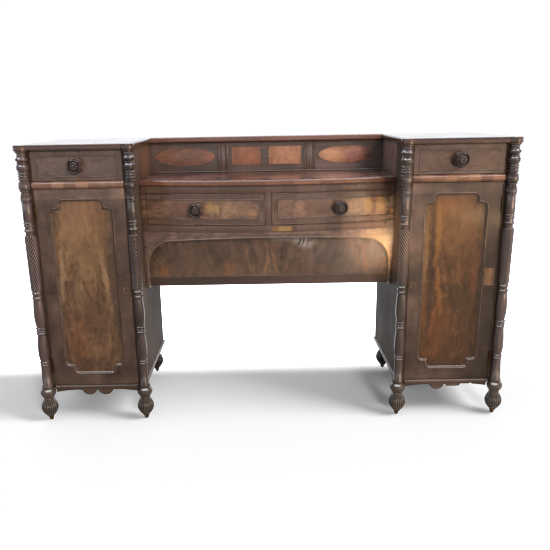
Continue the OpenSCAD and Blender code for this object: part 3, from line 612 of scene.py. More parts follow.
def topOutline():
    reach, back = ear["radius"], topHigh.y
    inward, forward = math.acos(ear["side"] / reach), math.asin(ear["front"] / reach)
    points = [(outerX + ear["side"], back), (innerX - ear["side"], back)]
    for x, start, end in ((innerX, math.pi - inward, turn - forward), (outerX, math.pi + forward, turn + inward)):
        points += [(x + reach * math.cos(a), columnY + reach * math.sin(a)) for a in spaced(start, end, ear["steps"])]
    return points


edgeLayers = [(3.5, 0), (1.2, 0.8), (0.2, 2.8), (0, 5), (0, 15), (0.3, 18.5), (1.6, 21), (4, 22)]
for side, sideName in sides:
    shape = plate(topOutline(), inMetres(edgeLayers), lambda u, v, d: (u, v, topLow.z + d))
    addPiece(f"{sideName}_top_board", mirrored(shape, side), topPolished, standsFor=[f"{sideName}_pedestal_top"])
print("tops made")


# Crossbanded half-round rail under each pedestal drawer

rail = {"nose": 13 * mm, "steps": 12, "endX": 556, "past": 1.5 * mm, "tones": {
    "left": ("#5f4740", "#83665b", "#a0816f"), "right": ("#54392e", "#745646", "#8e6c57")}}


def railSection(x):
    middle, half = (railLow.z + railHigh.z) / 2, (railHigh.z - railLow.z) / 2
    arc = [(frontY - rail["nose"] * math.sin(a), middle - half * math.cos(a))
           for a in spaced(0, math.pi, rail["steps"])]
    return [(railHigh.y, railLow.z), *arc, (railHigh.y, railHigh.z)]


for side, sideName in sides:
    railBand = crossbandedWood(f"crossbanded mid rail {sideName}", {
        "marks": [(side * rail["endX"], 938, 60, 30, 0, "#4e3c33", 0.5)], "tones": rail["tones"][sideName],
        "pieceMm": 44, "ownShare": 0.5, "run": "x", "rough": (0.24, 0.36), "coat": 0.4})
    shape = boardAlongX(spaced(doorLow.x - rail["past"], doorHigh.x + rail["past"], 8), railSection)
    addPiece(f"{sideName}_rounded_rail", mirrored(shape, side), railBand, standsFor=["mid_rails"])


# Aprons: one sweep from each foot and two lobes; one lobe of the right-hand one has broken off

apron = {"half": 165.5, "end": -16.5, "rise": -7.5, "lobe": 30, "lobeX": 33, "break": -17, "chip": (98, 109, -5)}
apronLow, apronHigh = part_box("scalloped_aprons")


def apronEdge(dx, brokenSide):
    far = min(1, abs(dx) / apron["half"])
    edge = apron["rise"] + (apron["end"] - apron["rise"]) * max(0, (far - 0.42) / 0.58) ** 2
    off = abs(dx) - apron["lobeX"]
    if abs(off) < apron["lobe"]:
        lobe = -math.sqrt(apron["lobe"] ** 2 - off ** 2)
        if brokenSide * dx > 0:
            lobe = max(lobe, apron["break"] + 1.6 * math.sin(dx * 0.9) + 0.02 * off)
        edge = min(edge, lobe)
    chipFrom, chipTo, chipEdge = apron["chip"]
    return chipEdge if brokenSide and chipFrom < brokenSide * dx < chipTo else edge


for side, sideName in sides:
    half = apron["half"]
    lower = [(x, apronEdge(x, 1 if side > 0 else 0)) for x in spaced(-half, half, 132)]
    outline = [(side * pedestalX + u * mm, apronHigh.z + v * mm) for u, v in [(half, 0), (-half, 0), *lower]]
    layers = inMetres([(0.8, 0), (0, 0.8), (0, 13.2), (0.8, 14)])
    addPiece(f"{sideName}_apron", plate(outline, layers, lambda u, v, d: (u, apronLow.y + d, v)), frameLevel,
             standsFor=["scalloped_aprons"])
print("rails and aprons made")


# Doors: stepped opening, moulded edge, flame panel, keyhole

door = {"panelW": 240 * mm, "low": 45 * mm, "high": 38 * mm, "step": 33 * mm, "round": 22 * mm,
        "keyZ": 0.545, "keyIn": 20 * mm, "pieceMm": 132.6,
        # Painted light on the door frames: the outer stile is painted darker than the inner, much darker on the right
        # door, and the top rail gets a painted sheen
        "paintedLight": {"left": (1.12, 0.92, 0.66), "right": (0.95, 0.44, 0.42)}}  # inner stile, outer, more on top rail
# Moulding from the face down to the panel: a bead, a fillet and a cove, as (side, lift) in millimetres
doorMoulding = [(-0.6, -1), (-0.6, 0.1), (0, 0.9), (1.1, 1.3), (2.3, 1.1), (3.3, 0.3), (3.9, -0.9), (3.9, -2.2),
                (4.7, -2.6), (5.2, -4.2), (6.1, -6.0), (7.6, -7.4), (9.2, -8.2), (9.2, -10.2), (-1, -10.2)]


def steppedOutline(w, h, step, r):
    turns = spaced(0, turn / 4, 6)
    quarter = [(w / 2 - r + r * math.cos(a), h / 2 - step - r + r * math.sin(a)) for a in turns]
    quarter += [(w / 2 - step, h / 2 - step)]
    quarter += [(w / 2 - step - r + r * math.cos(a), h / 2 - r + r * math.sin(a)) for a in turns]
    upper = quarter + [(-x, z) for x, z in reversed(quarter)]
    return upper + [(-x, -z) for x, z in upper]


# Frame veneer: upright on the stiles in short pieces, level on the rails, with painted light: painted shade towards
# the bottom and towards one stile, and a painted sheen on the top rail
def frameVeneer(name, look, low, high):
    material, add, place = newMaterial(name)
    x, _, height = add("SeparateXYZ", (place,)).node.outputs
    over = add("Math", (height, high), operation="GREATER_THAN")
    under = add("Math", (height, low), operation="LESS_THAN")
    level = add("Math", (over, under), operation="ADD")
    upright = add("Mapping", {"Vector": place, "Scale": [1.0, 1.0, 0.05]})
    lying = add("Mapping", {"Vector": place, "Scale": [0.05, 1.0, 1.0]})
    drawn = add("Mix", {"Factor": level, "A": upright, "B": lying}, data_type="VECTOR")
    streak = add("TexNoise", {"Vector": drawn, "Scale": 1 / (look["streakMm"] * mm), "Detail": 5.0,
                              "Roughness": 0.62})
    patina = add("TexNoise", {"Vector": place, "Scale": 11.0, "Detail": 4.0})
    tone = add("Mix", {"Factor": 0.74, "A": streak, "B": patina})
    ramp = add("ValToRGB", (tone,), zip((0.34, 0.5, 0.66), look["tones"]))
    count = add("Math", (height, door["pieceMm"] * mm), operation="DIVIDE")
    piece = add("Math", (count,), operation="FLOOR")
    own = add("TexWhiteNoise", {"W": piece}, noise_dimensions="1D")
    share = add("MapRange", (own, 0.0, 1.0, 0.86, 1.12))
    inPiece = add("Math", (count,), operation="FRACT")
    joint = add("MapRange", (inPiece, 0.0, 0.02, 0.7, 1.0))
    pieced = add("Math", (share, joint), operation="MULTIPLY")
    onStile = add("Mix", {"Factor": level, "A": pieced, "B": 1.0})
    # Painted light: painted shade towards the bottom, a painted sheen on the top rail, and painted shade across
    # towards one stile
    heightShade = add("MapRange", (height, low, high + 20 * mm, 0.84, 1.06))
    topRailLight = add("Math", (over, look["topRailLight"], heightShade), operation="MULTIPLY_ADD")
    stileShade = add("MapRange", (x, look["from"], look["to"], look["inner"], look["outer"]))
    rise = add("Math", (onStile, topRailLight), operation="MULTIPLY")
    shade = add("Math", (rise, stileShade), operation="MULTIPLY")
    colour = add("VectorMath", {0: ramp, "Scale": shade}, operation="SCALE")
    polish(add, place, colour, streak, look)
    return material


flameLook = {"grain": "z", "half": 0.12, "reach": 0.3, "rough": (0.24, 0.38), "coat": 0.4, "specular": 0.3,
             "dustAndShade": (12 * mm, 0.5)}
doorFlames = {
    "left": {"seed": 4.0, "topLift": 0.02, "tones": ("#362821", "#4f3c2f", "#68513e", "#80664c"), "marks": [
        (-700, 780, 120, 170, 0, "#785f46", 0.55), (-745, 790, 50, 130, 4, "#866b52", 0.5),
        (-705, 640, 90, 80, 0, "#6d5a41", 0.4), (-690, 860, 90, 50, 0, "#795742", 0.5),
        (-740, 500, 50, 70, 0, "#705b47", 0.5), (-690, 420, 75, 130, 0, "#4f3b31", 0.6),
        (-765, 330, 45, 130, 0, "#6a4834", 0.5), (-700, 225, 140, 40, 0, "#41322a", 0.6),
        (-603, 560, 22, 330, 0, "#4b3e36", 0.75), (-822, 640, 14, 300, 0, "#44362e", 0.6),
        (-637, 590, 12, 120, -6, "#94795f", 0.5), (-655, 740, 12, 100, -5, "#82674c", 0.5),
        (-803, 600, 13, 130, 5, "#998269", 0.55), (-812, 700, 9, 90, 3, "#7d5b3e", 0.6),
        (-770, 560, 5, 90, 22, "#403026", 0.55), (-712, 545, 5, 60, -20, "#403026", 0.5)]},
    "right": {"seed": 11.0, "topLift": 0.03, "tones": ("#281b13", "#3e2b1c", "#523926", "#6b4d2e"), "marks": [
        (700, 790, 110, 130, 0, "#6b4c2f", 0.6), (675, 845, 60, 50, 0, "#75512e", 0.5),
        (745, 760, 60, 110, 0, "#614329", 0.5), (740, 640, 70, 80, 0, "#4e3523", 0.5),
        (750, 480, 75, 80, 0, "#35281e", 0.65), (745, 330, 80, 120, 0, "#452f23", 0.45),
        (660, 330, 45, 130, 6, "#583824", 0.6), (600, 690, 14, 210, 0, "#7c6140", 0.7),
        (600, 420, 16, 120, 0, "#6c492e", 0.5), (627, 560, 10, 330, 0, "#382822", 0.75),
        (645, 745, 12, 150, 0, "#845f2e", 0.55), (658, 520, 10, 110, -7, "#7c5229", 0.5),
        (643, 400, 12, 90, 10, "#6e4629", 0.6), (790, 560, 14, 110, 0, "#5f3822", 0.5),
        (700, 215, 130, 30, 0, "#39281d", 0.6), (700, 560, 5, 120, -14, "#2d1f15", 0.5)]},
}
panelZ = doorLow.z + door["low"]
panelTop = doorHigh.z - door["high"]


keyhole = {"radius": 2.6 * mm, "slotHalf": 1.6 * mm, "slotEnd": 9 * mm, "patchHalf": (11 * mm, 13 * mm),
           "patchDrop": 3 * mm, "lift": 0.35 * mm, "sunk": 0.4 * mm}


# The key patch: the part of a plate between a rectangle and a keyhole, both drawn with as many points
def keyholePlate(x, z):
    halfW, halfH = keyhole["patchHalf"]
    radius, end, lift, sunk = (keyhole[k] for k in ("radius", "slotEnd", "lift", "sunk"))
    rows = [[], [], [], []]
    for k in range(32):
        a = turn * (k + 0.5) / 32
        c, s = math.cos(a), math.sin(a)
        wide = max(1e-6, abs(c))
        reach = min(halfW / wide, halfH / max(1e-6, abs(s)))
        hole = radius if s > -0.5 else min(
            end, keyhole["slotHalf"] / wide, radius + (end - radius) * (-s - 0.5) * 2)
        for row, (r, depth) in zip(rows, ((hole, sunk), (hole, -lift), (reach, -lift), (reach, sunk))):
            row.append((x + r * c, frontY + depth, z + r * s))
    return bridged(rows, closedAround=True)


for side, sideName in sides:
    body = f"{sideName}_door"
    inner, outer, topRailLight = door["paintedLight"][sideName]
    dress(f"{body}_frame", frameVeneer(f"door frame veneer {sideName}", {
        **polishedFrame, "from": side * doorLow.x, "to": side * doorHigh.x, "inner": inner, "outer": outer,
        "topRailLight": topRailLight}, panelZ, panelTop))
    dress(f"{body}_panel", flameWood(f"flame mahogany {sideName} door", {
        **flameLook, "centre": (side * 0.7, 0, 0.5), "stops": (0.3, 0.43, 0.54, 0.68), **doorFlames[sideName]}))
    dress(f"{body}_hinges", hingeBrass)
    dress(f"{body}_lock", hingeBrass)
    middleX, middleZ = side * pedestalX, (panelZ + panelTop) / 2
    path = [(middleX + u, middleZ + v)
            for u, v in steppedOutline(door["panelW"], panelTop - panelZ, door["step"], door["round"])]
    addPiece(f"{body}_moulding", mouldingOn(path, inMetres(doorMoulding), onFront), beadWood, body, sharp=50)
    keyX = side * (doorLow.x + door["keyIn"])
    addPiece(f"{sideName}_key_patch", keyholePlate(keyX, door["keyZ"] - keyhole["patchDrop"]), keyWood, body)
repair = {"x": (829 * mm, 866 * mm), "z": (537 * mm, 606 * mm)}
repairWood = flameWood("flame mahogany repair", {
    **flameLook, "centre": (0.848, 0, 0.54), "half": 0.02, "reach": 0.05, "seed": 77.0, "mottleMm": 22,
    "tones": ("#3d2e25", "#5d4637", "#785d43", "#94784f")})
addPiece("right_door_repair", veneer(spaced(*repair["x"], 2), *repair["z"], onFront, 0.25 * mm), repairWood,
         "right_door")
print("doors dressed")


# Pedestal drawers: crossbanded border, a bead and a flame field

field = {"x": (560 * mm, 850 * mm), "z": (981 * mm, 1057 * mm), "tones": {
    "left": ("#3c3231", "#4e423e", "#5e504c", "#705e58"), "right": ("#32261f", "#47362e", "#58453c", "#6b5449")}}
drawerFlame = {"grain": "x", "half": 0.05, "reach": 0.12, "rough": (0.26, 0.4), "coat": 0.3, "specular": 0.36,
               "swayMm": 60, "edge": 0.04, "dustAndShade": (9 * mm, 0.55)}


def inField(x):
    return field["x"][0] - 1e-6 <= x <= field["x"][1] + 1e-6


for side, sideName in sides:
    body = f"{sideName}_drawer"
    dress(f"{body}_front", bandAcross)
    dress(f"{body}_box", drawerOak)
    x0, x1 = drawerLow.x + 0.3 * mm, drawerHigh.x - 0.3 * mm
    z0, z1 = drawerLow.z + 0.3 * mm, drawerHigh.z - 0.3 * mm
    fx0, fx1, fz0, fz1 = *field["x"], *field["z"]
    corners = [x0, fx0, fx1, x1]
    shape = joined(veneer(corners, lambda x: fz1 if inField(x) else z1 - 0.1 * mm, z1, onFront),
                   veneer(corners, z0, lambda x: fz0 if inField(x) else z0 + 0.1 * mm, onFront))
    addPiece(f"{body}_long_bands", mirrored(shape, side), bandAcross, body)
    shape = joined(*[veneer(run, lambda x: fz0 if inField(x) else z0, lambda x: fz1 if inField(x) else z1,
                            onFront, 0.48 * mm) for run in ([x0, fx0], [fx1, x1])])
    addPiece(f"{body}_end_bands", mirrored(shape, side), bandUp, body)
    flame = flameWood(f"flame mahogany {sideName} drawer", {
        **drawerFlame, "centre": (side * 0.705, 0, 1.02), "seed": 7.0 + side, "tones": field["tones"][sideName]})
    shape = veneer([fx0, (fx0 + fx1) / 2, fx1], fz0, fz1, onFront, 0.9 * mm)
    addPiece(f"{body}_field", mirrored(shape, side), flame, body)
    bead = mouldingOn(rectangle(fx0, fx1, fz0, fz1), halfRound(4.6 * mm, 2.2 * mm), onFront)
    edge = mouldingOn(insetPath(rectangle(x0, x1, z0, z1), 1.6 * mm), halfRound(3 * mm, 1.3 * mm), onFront)
    addPiece(f"{body}_beads", mirrored(joined(bead, edge), side), beadWood, body)
print("pedestal drawers dressed")


# Knobs: a shank, a bun with a rounded edge, a ring and a small carved rosette

knob = {"radius": 29.8, "length": (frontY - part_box("right_drawer_knob")[0].y) / mm, "petals": 8,
        "rosette": (4.6, 16.5), "carved": 1.5}


def knobProfile():
    length, radius = knob["length"], knob["radius"]
    return [
        (0.3, length - 1.0), (2.2, length - 0.4), (3.8, length - 1.2), (4.8, length - 2.4), (7, length - 1.6),
        (10.5, length - 1.6), (14, length - 2.4), (16.2, length - 3.8), (17.2, length - 6), (18.4, length - 7.4),
        (19.3, length - 6.2),
        *[(22 + 2.6 * math.cos(a), length - 5.2 + 3.2 * math.sin(a)) for a in spaced(2.9, 0.1, 10)],
        (24.8, length - 6.6), (25.4, length - 9), (26.6, length - 12.5), (27.4, length - 15),
        (26.6, length - 16.2), (27.2, length - 17.6),
        *[(radius - 4.5 + 4.5 * math.cos(a), length - 22.5 + 4.9 * math.sin(a)) for a in spaced(1.2, -1.4, 12)],
        (22, length - 28.4), (17, length - 30.5), (14.5, length - 33), (13.6, 9), (15, 5.5),
        *[(14.6 + 2.4 * math.cos(a), 2.8 + 2.4 * math.sin(a)) for a in spaced(1.3, -1.2, 6)], (15, 0), (0.3, 0),
    ]


def rosette(angle, radius, height):
    inner, outer = (v * mm for v in knob["rosette"])
    if inner < radius < outer and height > (knob["length"] - 5) * mm:
        share = math.sin(math.pi * (radius - inner) / (outer - inner))
        height += knob["carved"] * mm * share * (abs(math.cos(knob["petals"] * angle / 2)) - 0.75)
    return radius, height


def knobShape(x, z, y, swing):
    points, faces = turned(inMetres(knobProfile()), 64, (0, 0), rosette)
    spin = Matrix.Translation((x, y, z)) @ Matrix.Rotation(swing, 4, "Z") @ Matrix.Rotation(math.pi / 2, 4, "X")
    return [tuple(spin @ Vector(p)) for p in points], faces


knobZ = (drawerLow.z + drawerHigh.z) / 2
for side, sideName in sides:
    addPiece(f"{sideName}_knob", knobShape(side * pedestalX, knobZ, frontY, 0), knobWood, f"{sideName}_drawer",
             [f"{sideName}_drawer_knob"], sharp=50)
print("knobs turned")


# The centre follows one bow; rows of points along x lie on it

railsLow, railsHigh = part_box("centre_front_rails")
servingLow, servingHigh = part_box("serving_top")
bow = {"half": 512 * mm, "rise": 64 * mm, "lip": 12 * mm}  # the serving top's lip stands out past the bow
bow["radius"] = (bow["half"] ** 2 + bow["rise"] ** 2) / (2 * bow["rise"])
bow["centreY"] = railsLow.y + bow["radius"]
centre = {"drawers": (767 * mm, 895 * mm), "drawerX": (14.5 * mm, 488 * mm), "border": 24 * mm, "end": 511.5 * mm,
          "thick": 20 * mm, "knobX": 282.5 * mm, "knobZ": 0.831, "gap": 1.8 * mm, "endFrom": 489.5 * mm,
          "muntin": 13 * mm}
end = centre["end"]


def onBow(x, out=0):
    return bow["centreY"] - math.sqrt((bow["radius"] + out) ** 2 - x ** 2)


def bowBoard(x0, x1, z0, z1, steps, edge=1.0 * mm):
    def section(x):
        face, soft = onBow(x), 0.3 * edge
        back = face + centre["thick"]
        return [(back, z0), (face + edge, z0), (face + soft, z0 + soft), (face, z0 + edge),
                (face, z1 - edge), (face + soft, z1 - soft), (face + edge, z1), (back, z1)]
    return boardAlongX(spaced(x0, x1, steps), section)


# A board's outline with a rounded nose at the front
def nosed(front, back, z0, z1, r):
    lower = [(front + r - r * math.cos(a), z0 + r - r * math.sin(a)) for a in spaced(turn / 4, 0, 6)]
    upper = [(front + r - r * math.cos(a), z1 - r + r * math.sin(a)) for a in spaced(0, turn / 4, 6)]
    return [(back, z0), *lower, *upper, (back, z1)]


addPiece("serving_board", boardAlongX(spaced(-end, end, 64), lambda x: nosed(
    onBow(x, bow["lip"]), servingHigh.y, servingLow.z, servingHigh.z, 6 * mm)), servingPolished,
    standsFor=["serving_top"])
edgeBand = crossbandedWood("crossbanded serving edge", {
    **band, "pieceMm": 52, "tones": ("#4b342a", "#694a3c", "#87654c"), "dustAndShade": (8 * mm, 0.7)})
addPiece("serving_edge_band", veneer(spaced(-end, end, 64), servingLow.z + 3 * mm, servingHigh.z - 4.5 * mm,
                                     lambda x: onBow(x, bow["lip"]), 0.15 * mm), edgeBand)
z0, z1 = centre["drawers"]
rails = joined(bowBoard(-end, end, z1, railsHigh.z, 64), bowBoard(-end, end, railsLow.z, z0, 64),
               bowBoard(-centre["muntin"], centre["muntin"], z0, z1, 2))
centreBand = crossbandedWood("crossbanded centre", {**band, "pieceMm": 60})
addPiece("centre_rails", rails, centreBand, standsFor=["centre_front_rails"])
centreFlame = {"grain": "x", "half": 0.07, "reach": 0.16, "rough": (0.24, 0.36), "coat": 0.35, "swayMm": 80,
               "sway": 6.5, "edge": 0.03, "dustAndShade": (9 * mm, 0.55), "stops": (0.28, 0.42, 0.54, 0.7),
               "tones": ("#3a2c27", "#54423a", "#6c564b", "#856d59")}
centreMarks = {
    "left": [(-345, 835, 60, 30, 0, "#6d4f45", 0.6), (-410, 840, 40, 24, 0, "#7a655b", 0.5),
             (-228, 838, 18, 32, -10, "#947c4c", 0.6), (-204, 832, 9, 30, -14, "#9f8858", 0.5),
             (-160, 832, 50, 30, 0, "#8b745a", 0.5), (-90, 834, 40, 26, 0, "#715c4d", 0.5),
             (-60, 815, 24, 16, 0, "#8e6e58", 0.6), (-190, 820, 8, 34, 14, "#5b4537", 0.6)],
    # On the right drawer the last three marks, from x 330 outwards, are a painted golden sheen
    "right": [(70, 832, 60, 34, 0, "#665147", 0.6), (125, 838, 22, 22, 0, "#8a6f5d", 0.6),
              (165, 828, 30, 26, 0, "#5f493e", 0.6), (215, 834, 40, 30, 0, "#554342", 0.55),
              (330, 836, 40, 34, -10, "#8b6f56", 0.6), (400, 834, 22, 40, -8, "#ac9068", 0.6),
              (455, 834, 26, 40, -8, "#9f835e", 0.6)]}


# The border's width, which shrinks along the mitre beside the muntin
def mitred(x):
    return min(centre["border"], x - centre["drawerX"][0] + 0.1 * mm)


for side, sideName in sides:
    body = f"centre_{sideName}_drawer"
    dress(f"{body}_front", centreBand)
    dress(f"{body}_box", drawerOak)
    x0, x1 = centre["drawerX"]
    border, gap = centre["border"], centre["gap"]
    low, high = z0 + gap, z1 - gap
    stations = [x0, x0 + border, *spaced(x0 + border + 5 * mm, x1 - 0.3 * mm, 16)]
    endStations = spaced(x1 + gap, end, 3)
    long = joined(veneer(stations, lambda x: high - mitred(x), high, onBow),
                  veneer(stations, low, lambda x: low + mitred(x), onBow))
    addPiece(f"{body}_long_bands", mirrored(long, side), centreBand, body)
    short = veneer([x0, x0 + border], lambda x: low + mitred(x) - 0.1 * mm,
                   lambda x: high - mitred(x) + 0.1 * mm, onBow, 0.48 * mm)
    addPiece(f"{body}_short_band", mirrored(short, side), bandUp, body)
    flame = flameWood(f"flame mahogany centre {sideName}", {
        **centreFlame, "seed": 21.0 + side, "centre": (side * 0.26, 0, 0.832), "marks": centreMarks[sideName]})
    shape = veneer(stations[1:], low + border, high - border, onBow, 0.9 * mm)
    addPiece(f"{body}_field", mirrored(shape, side), flame, body)
    ends = joined(bowBoard(centre["endFrom"], end, z0, z1, 3),
                  veneer(endStations, low + border, high - border, onBow, 0.9 * mm))
    addPiece(f"centre_{sideName}_end", mirrored(ends, side), flame)
    beads, endBeads = [], []
    for inset, width, rise in ((gap, 3.6 * mm, 2.0 * mm), (border, 4.6 * mm, 2.4 * mm)):
        bottom, top, runX = low + inset, high - inset, x1 - 0.3 * mm
        path = [(runX, bottom), (x0 + inset, bottom), (x0 + inset, top), (runX, top)]
        beads.append(mouldingOn(divided(path, 30 * mm, False), halfRound(width, rise), onBow, False))
        for z in (bottom, top):
            path = divided([(x1 + gap, z), (end, z)], 12 * mm, False)
            endBeads.append(mouldingOn(path, halfRound(width, rise), onBow, False))
    addPiece(f"{body}_beads", mirrored(joined(*beads), side), beadWood, body)
    addPiece(f"centre_{sideName}_end_beads", mirrored(joined(*endBeads), side), beadWood)
    knobX = centre["knobX"]
    shape = knobShape(side * knobX, centre["knobZ"], onBow(knobX), side * math.asin(knobX / bow["radius"]))
    addPiece(f"{body}_turned_knob", shape, knobWood, body, [f"{body}_knob"], sharp=50)
gold = {"x": (15 * mm, 94 * mm), "z": (742 * mm, 761 * mm)}
addPiece("lower_rail_repair", veneer(spaced(*gold["x"], 4), *gold["z"], onBow, 0.3 * mm), goldPatchWood)
print("centre dressed")


# Arch apron with a string along its edge, and the flame panel behind it

arch = {"low": 500 * mm, "half": 496 * mm, "crown": 715 * mm, "haunch": 110 * mm, "drop": 125 * mm,
        "top": 737.9 * mm}
haunchX = arch["half"] - arch["haunch"]
crownRadius = (haunchX ** 2 + arch["drop"] ** 2 - arch["haunch"] ** 2) / (2 * (arch["drop"] - arch["haunch"]))
crownTurn = math.asin(haunchX / (crownRadius - arch["haunch"]))


def archSide(count=12):
    haunch = [(haunchX + arch["haunch"] * math.cos(a), arch["crown"] - arch["drop"] + arch["haunch"] * math.sin(a))
              for a in spaced(0, turn / 4 - crownTurn, count)]
    crown = [(crownRadius * math.sin(a), arch["crown"] - crownRadius + crownRadius * math.cos(a))
             for a in spaced(crownTurn, 0, count)[1:]]
    return haunch + crown


rightArch = archSide()
wholeArch = rightArch + [(-x, z) for x, z in reversed(rightArch[:-1])]
legX, low = bow["half"] - 0.2 * mm, arch["low"]
rows = []
for x, z in [(-legX, low), (-arch["half"], low), *reversed(wholeArch), (arch["half"], low), (legX, low)]:
    face = onBow(x)
    back = face + centre["thick"]
    rows.append([(x, back, z), (x, face + 1 * mm, z), (x, face, z + 1 * mm), (x, face, arch["top"]),
                 (x, back, arch["top"])])
# The two light marks at the right end are a painted golden sheen
spandrelFlame = flameWood("flame mahogany apron", {
    "grain": "x", "half": 0.12, "reach": 0.3, "seed": 31.0, "rough": (0.26, 0.38), "coat": 0.3, "specular": 0.38,
    "centre": (0, 0, 0.66), "edge": 0.02, "dustAndShade": (12 * mm, 0.55), "marks": [
        (0, 724, 330, 12, 0, "#4b3f39", 0.65), (430, 690, 90, 60, 0, "#9e876c", 0.7),
        (480, 620, 26, 90, 0, "#a69073", 0.7)],
    "tones": ("#423634", "#5c4c49", "#6f605b", "#86776c")})
addPiece("arch_board", bridged(rows), spandrelFlame, standsFor=["arch_apron"])
stringPath = [(arch["half"], low + 2 * mm), *wholeArch, (-arch["half"], low + 2 * mm)]
addPiece("arch_string", mouldingOn(insetPath(divided(stringPath, 40 * mm, False), -4 * mm, False),
                                   halfRound(2.6 * mm, 1.0 * mm), onBow, False), stringWood)
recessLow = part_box("recess_panel")[0]
recess = {"band": recessLow.z + 36 * mm}


def onRecess(x):
    return recessLow.y


# Some of the recess panel's marks are painted light: painted shade over the left half, a painted shadow along the top
# under the arch, a lighter painted sheen over the right half, and at the upper middle a painted reflection of a
# bright window with dark streaks across it
dress("recess_panel", flameWood("flame mahogany recess", {
    "front": recessLow.y, "grain": "z", "half": 0.36, "reach": 0.26, "seed": 45.0, "rough": (0.26, 0.4),
    "coat": 0.28, "specular": 0.36, "centre": (0.0, 0, 0.56), "streaks": 9.0, "bend": 0.5, "swayMm": 70,
    "edge": 0.0, "mottleMm": 46, "marks": [
        (-270, 600, 230, 120, 0, "#493b33", 0.4), (330, 620, 200, 110, 0, "#756e6b", 0.45),
        (-300, 705, 260, 26, 0, "#3e3430", 0.7), (90, 702, 95, 20, -4, "#817e7e", 0.75),
        (146, 684, 54, 30, 10, "#a19d9c", 0.78), (128, 684, 3, 24, 24, "#201c1b", 0.95),
        (146, 688, 3, 30, 34, "#201c1b", 0.95), (164, 684, 3, 26, 18, "#201c1b", 0.95),
        (178, 690, 3, 22, 40, "#201c1b", 0.9), (330, 700, 150, 28, 0, "#584c48", 0.6),
        (-440, 560, 26, 36, 0, "#81583a", 0.5), (-160, 560, 30, 40, 0, "#7b5840", 0.5),
        (-15, 570, 9, 60, 12, "#886d4e", 0.6), (25, 590, 8, 60, -16, "#7c6048", 0.6),
        (-330, 600, 90, 60, 0, "#614e45", 0.5), (400, 590, 14, 70, -8, "#846650", 0.6),
        (370, 600, 10, 70, -6, "#7c6250", 0.5), (200, 560, 90, 40, 0, "#644c40", 0.5)],
    "dustAndShade": (30 * mm, 0.5), "tones": ("#3c312c", "#4d4038", "#5f4d42", "#725e4d")}))
# The band's two marks are painted light: painted shade over the left half and a lighter painted patch over the right
recessBand = crossbandedWood("crossbanded recess edge", {
    **band, "pieceMm": 240, "tones": ("#3a302d", "#473b37", "#564741"),
    "marks": [(-270, 515, 220, 40, 0, "#332a27", 0.55), (330, 515, 220, 40, 0, "#66574f", 0.45)]})
addPiece("recess_lower_band", veneer(spaced(-end, end, 2), recessLow.z + 0.2 * mm, recess["band"], onRecess,
                                     0.6 * mm), recessBand)
addPiece("recess_string", mouldingOn([(-end, recess["band"]), (end, recess["band"])], halfRound(3 * mm, 1.2 * mm),
                                     onRecess, False), beadWood)
print("arch and recess dressed")


# Gallery: inlaid ovals, a tablet in two halves between moulded uprights, and the cap

boardLow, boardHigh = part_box("gallery_board")
capLow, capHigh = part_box("gallery_cap")
gallery = {"ovalX": 359 * mm, "ovalZ": 1015 * mm, "ovalHalf": (131 * mm, 38.5 * mm),
           "tablets": ((-155, -26), (8, 151)), "tabletZ": (977 * mm, 1056 * mm),
           "uprights": ((-214, -171), (164, 214))}
inlay = {"grain": "x", "half": 0.05, "reach": 0.14, "rough": (0.26, 0.4), "coat": 0.3, "specular": 0.36,
         "swayMm": 50, "dustAndShade": (8 * mm, 0.6)}
ovals = {
    "left": {"tones": ("#4e302a", "#6b4638", "#845946", "#976d57"), "marks": [
        (-359, 1015, 150, 50, 0, "#52413c", 0.75), (-410, 1012, 45, 26, 0, "#6e5445", 0.6),
        (-244, 1015, 16, 14, 0, "#774940", 0.6), (-300, 1022, 50, 20, 0, "#60473f", 0.5)]},
    # On the right oval the last mark, at a lean, is a painted shadow cast across its right end by the right pedestal
    "right": {"tones": ("#4d322e", "#69483d", "#825c4c", "#95705e"), "marks": [
        (285, 1015, 66, 42, 0, "#af896d", 0.75), (385, 1018, 50, 36, 0, "#9b6f6a", 0.6),
        (470, 1030, 50, 50, 38, "#4e3e3e", 0.7)]}}


def onGallery(x):
    return boardLow.y


def galleryPlate(outline, rise):
    layers = [(2.5 * mm, rise), (0.8 * mm, 0.75 * rise), (0, 0), (0, -0.6 * mm)]
    return plate(outline, layers, lambda u, v, d: (u, boardLow.y - d, v))


dress("gallery_board", galleryLevel)
for side, sideName in sides:
    a, b = gallery["ovalHalf"]
    x, z = side * gallery["ovalX"], gallery["ovalZ"]
    outline = [(x + a * math.cos(t), z + b * math.sin(t)) for t in spaced(0, turn, 72)[:-1]]
    addPiece(f"{sideName}_gallery_oval", galleryPlate(outline, 1.2 * mm), flameWood(
        f"flame mahogany {sideName} oval", {**inlay, "centre": (x, 0, z), "seed": 52.0 + side, **ovals[sideName]}))
    addPiece(f"{sideName}_oval_string", mouldingOn(outline, halfRound(2.6 * mm, 1.4 * mm), onGallery), beadWood)
tabletTones = (("#513428", "#6e4837", "#805541", "#8e624a"), ("#69493b", "#855f4b", "#977059", "#a37d65"))
for number, (x0, x1) in enumerate(gallery["tablets"]):
    outline = rectangle(x0 * mm, x1 * mm, *gallery["tabletZ"])
    addPiece(f"gallery_tablet_{number + 1}", galleryPlate(outline, 1.2 * mm), flameWood(
        f"flame mahogany tablet {number + 1}", {
            **inlay, "grain": "z", "half": 0.08, "centre": ((x0 + x1) / 2 * mm, 0, 1.0), "seed": 61.0 + number,
            "tones": tabletTones[number]}))
    addPiece(f"gallery_tablet_bead_{number + 1}", mouldingOn(outline, halfRound(3 * mm, 1.6 * mm), onGallery),
             beadWood)
uprights = []
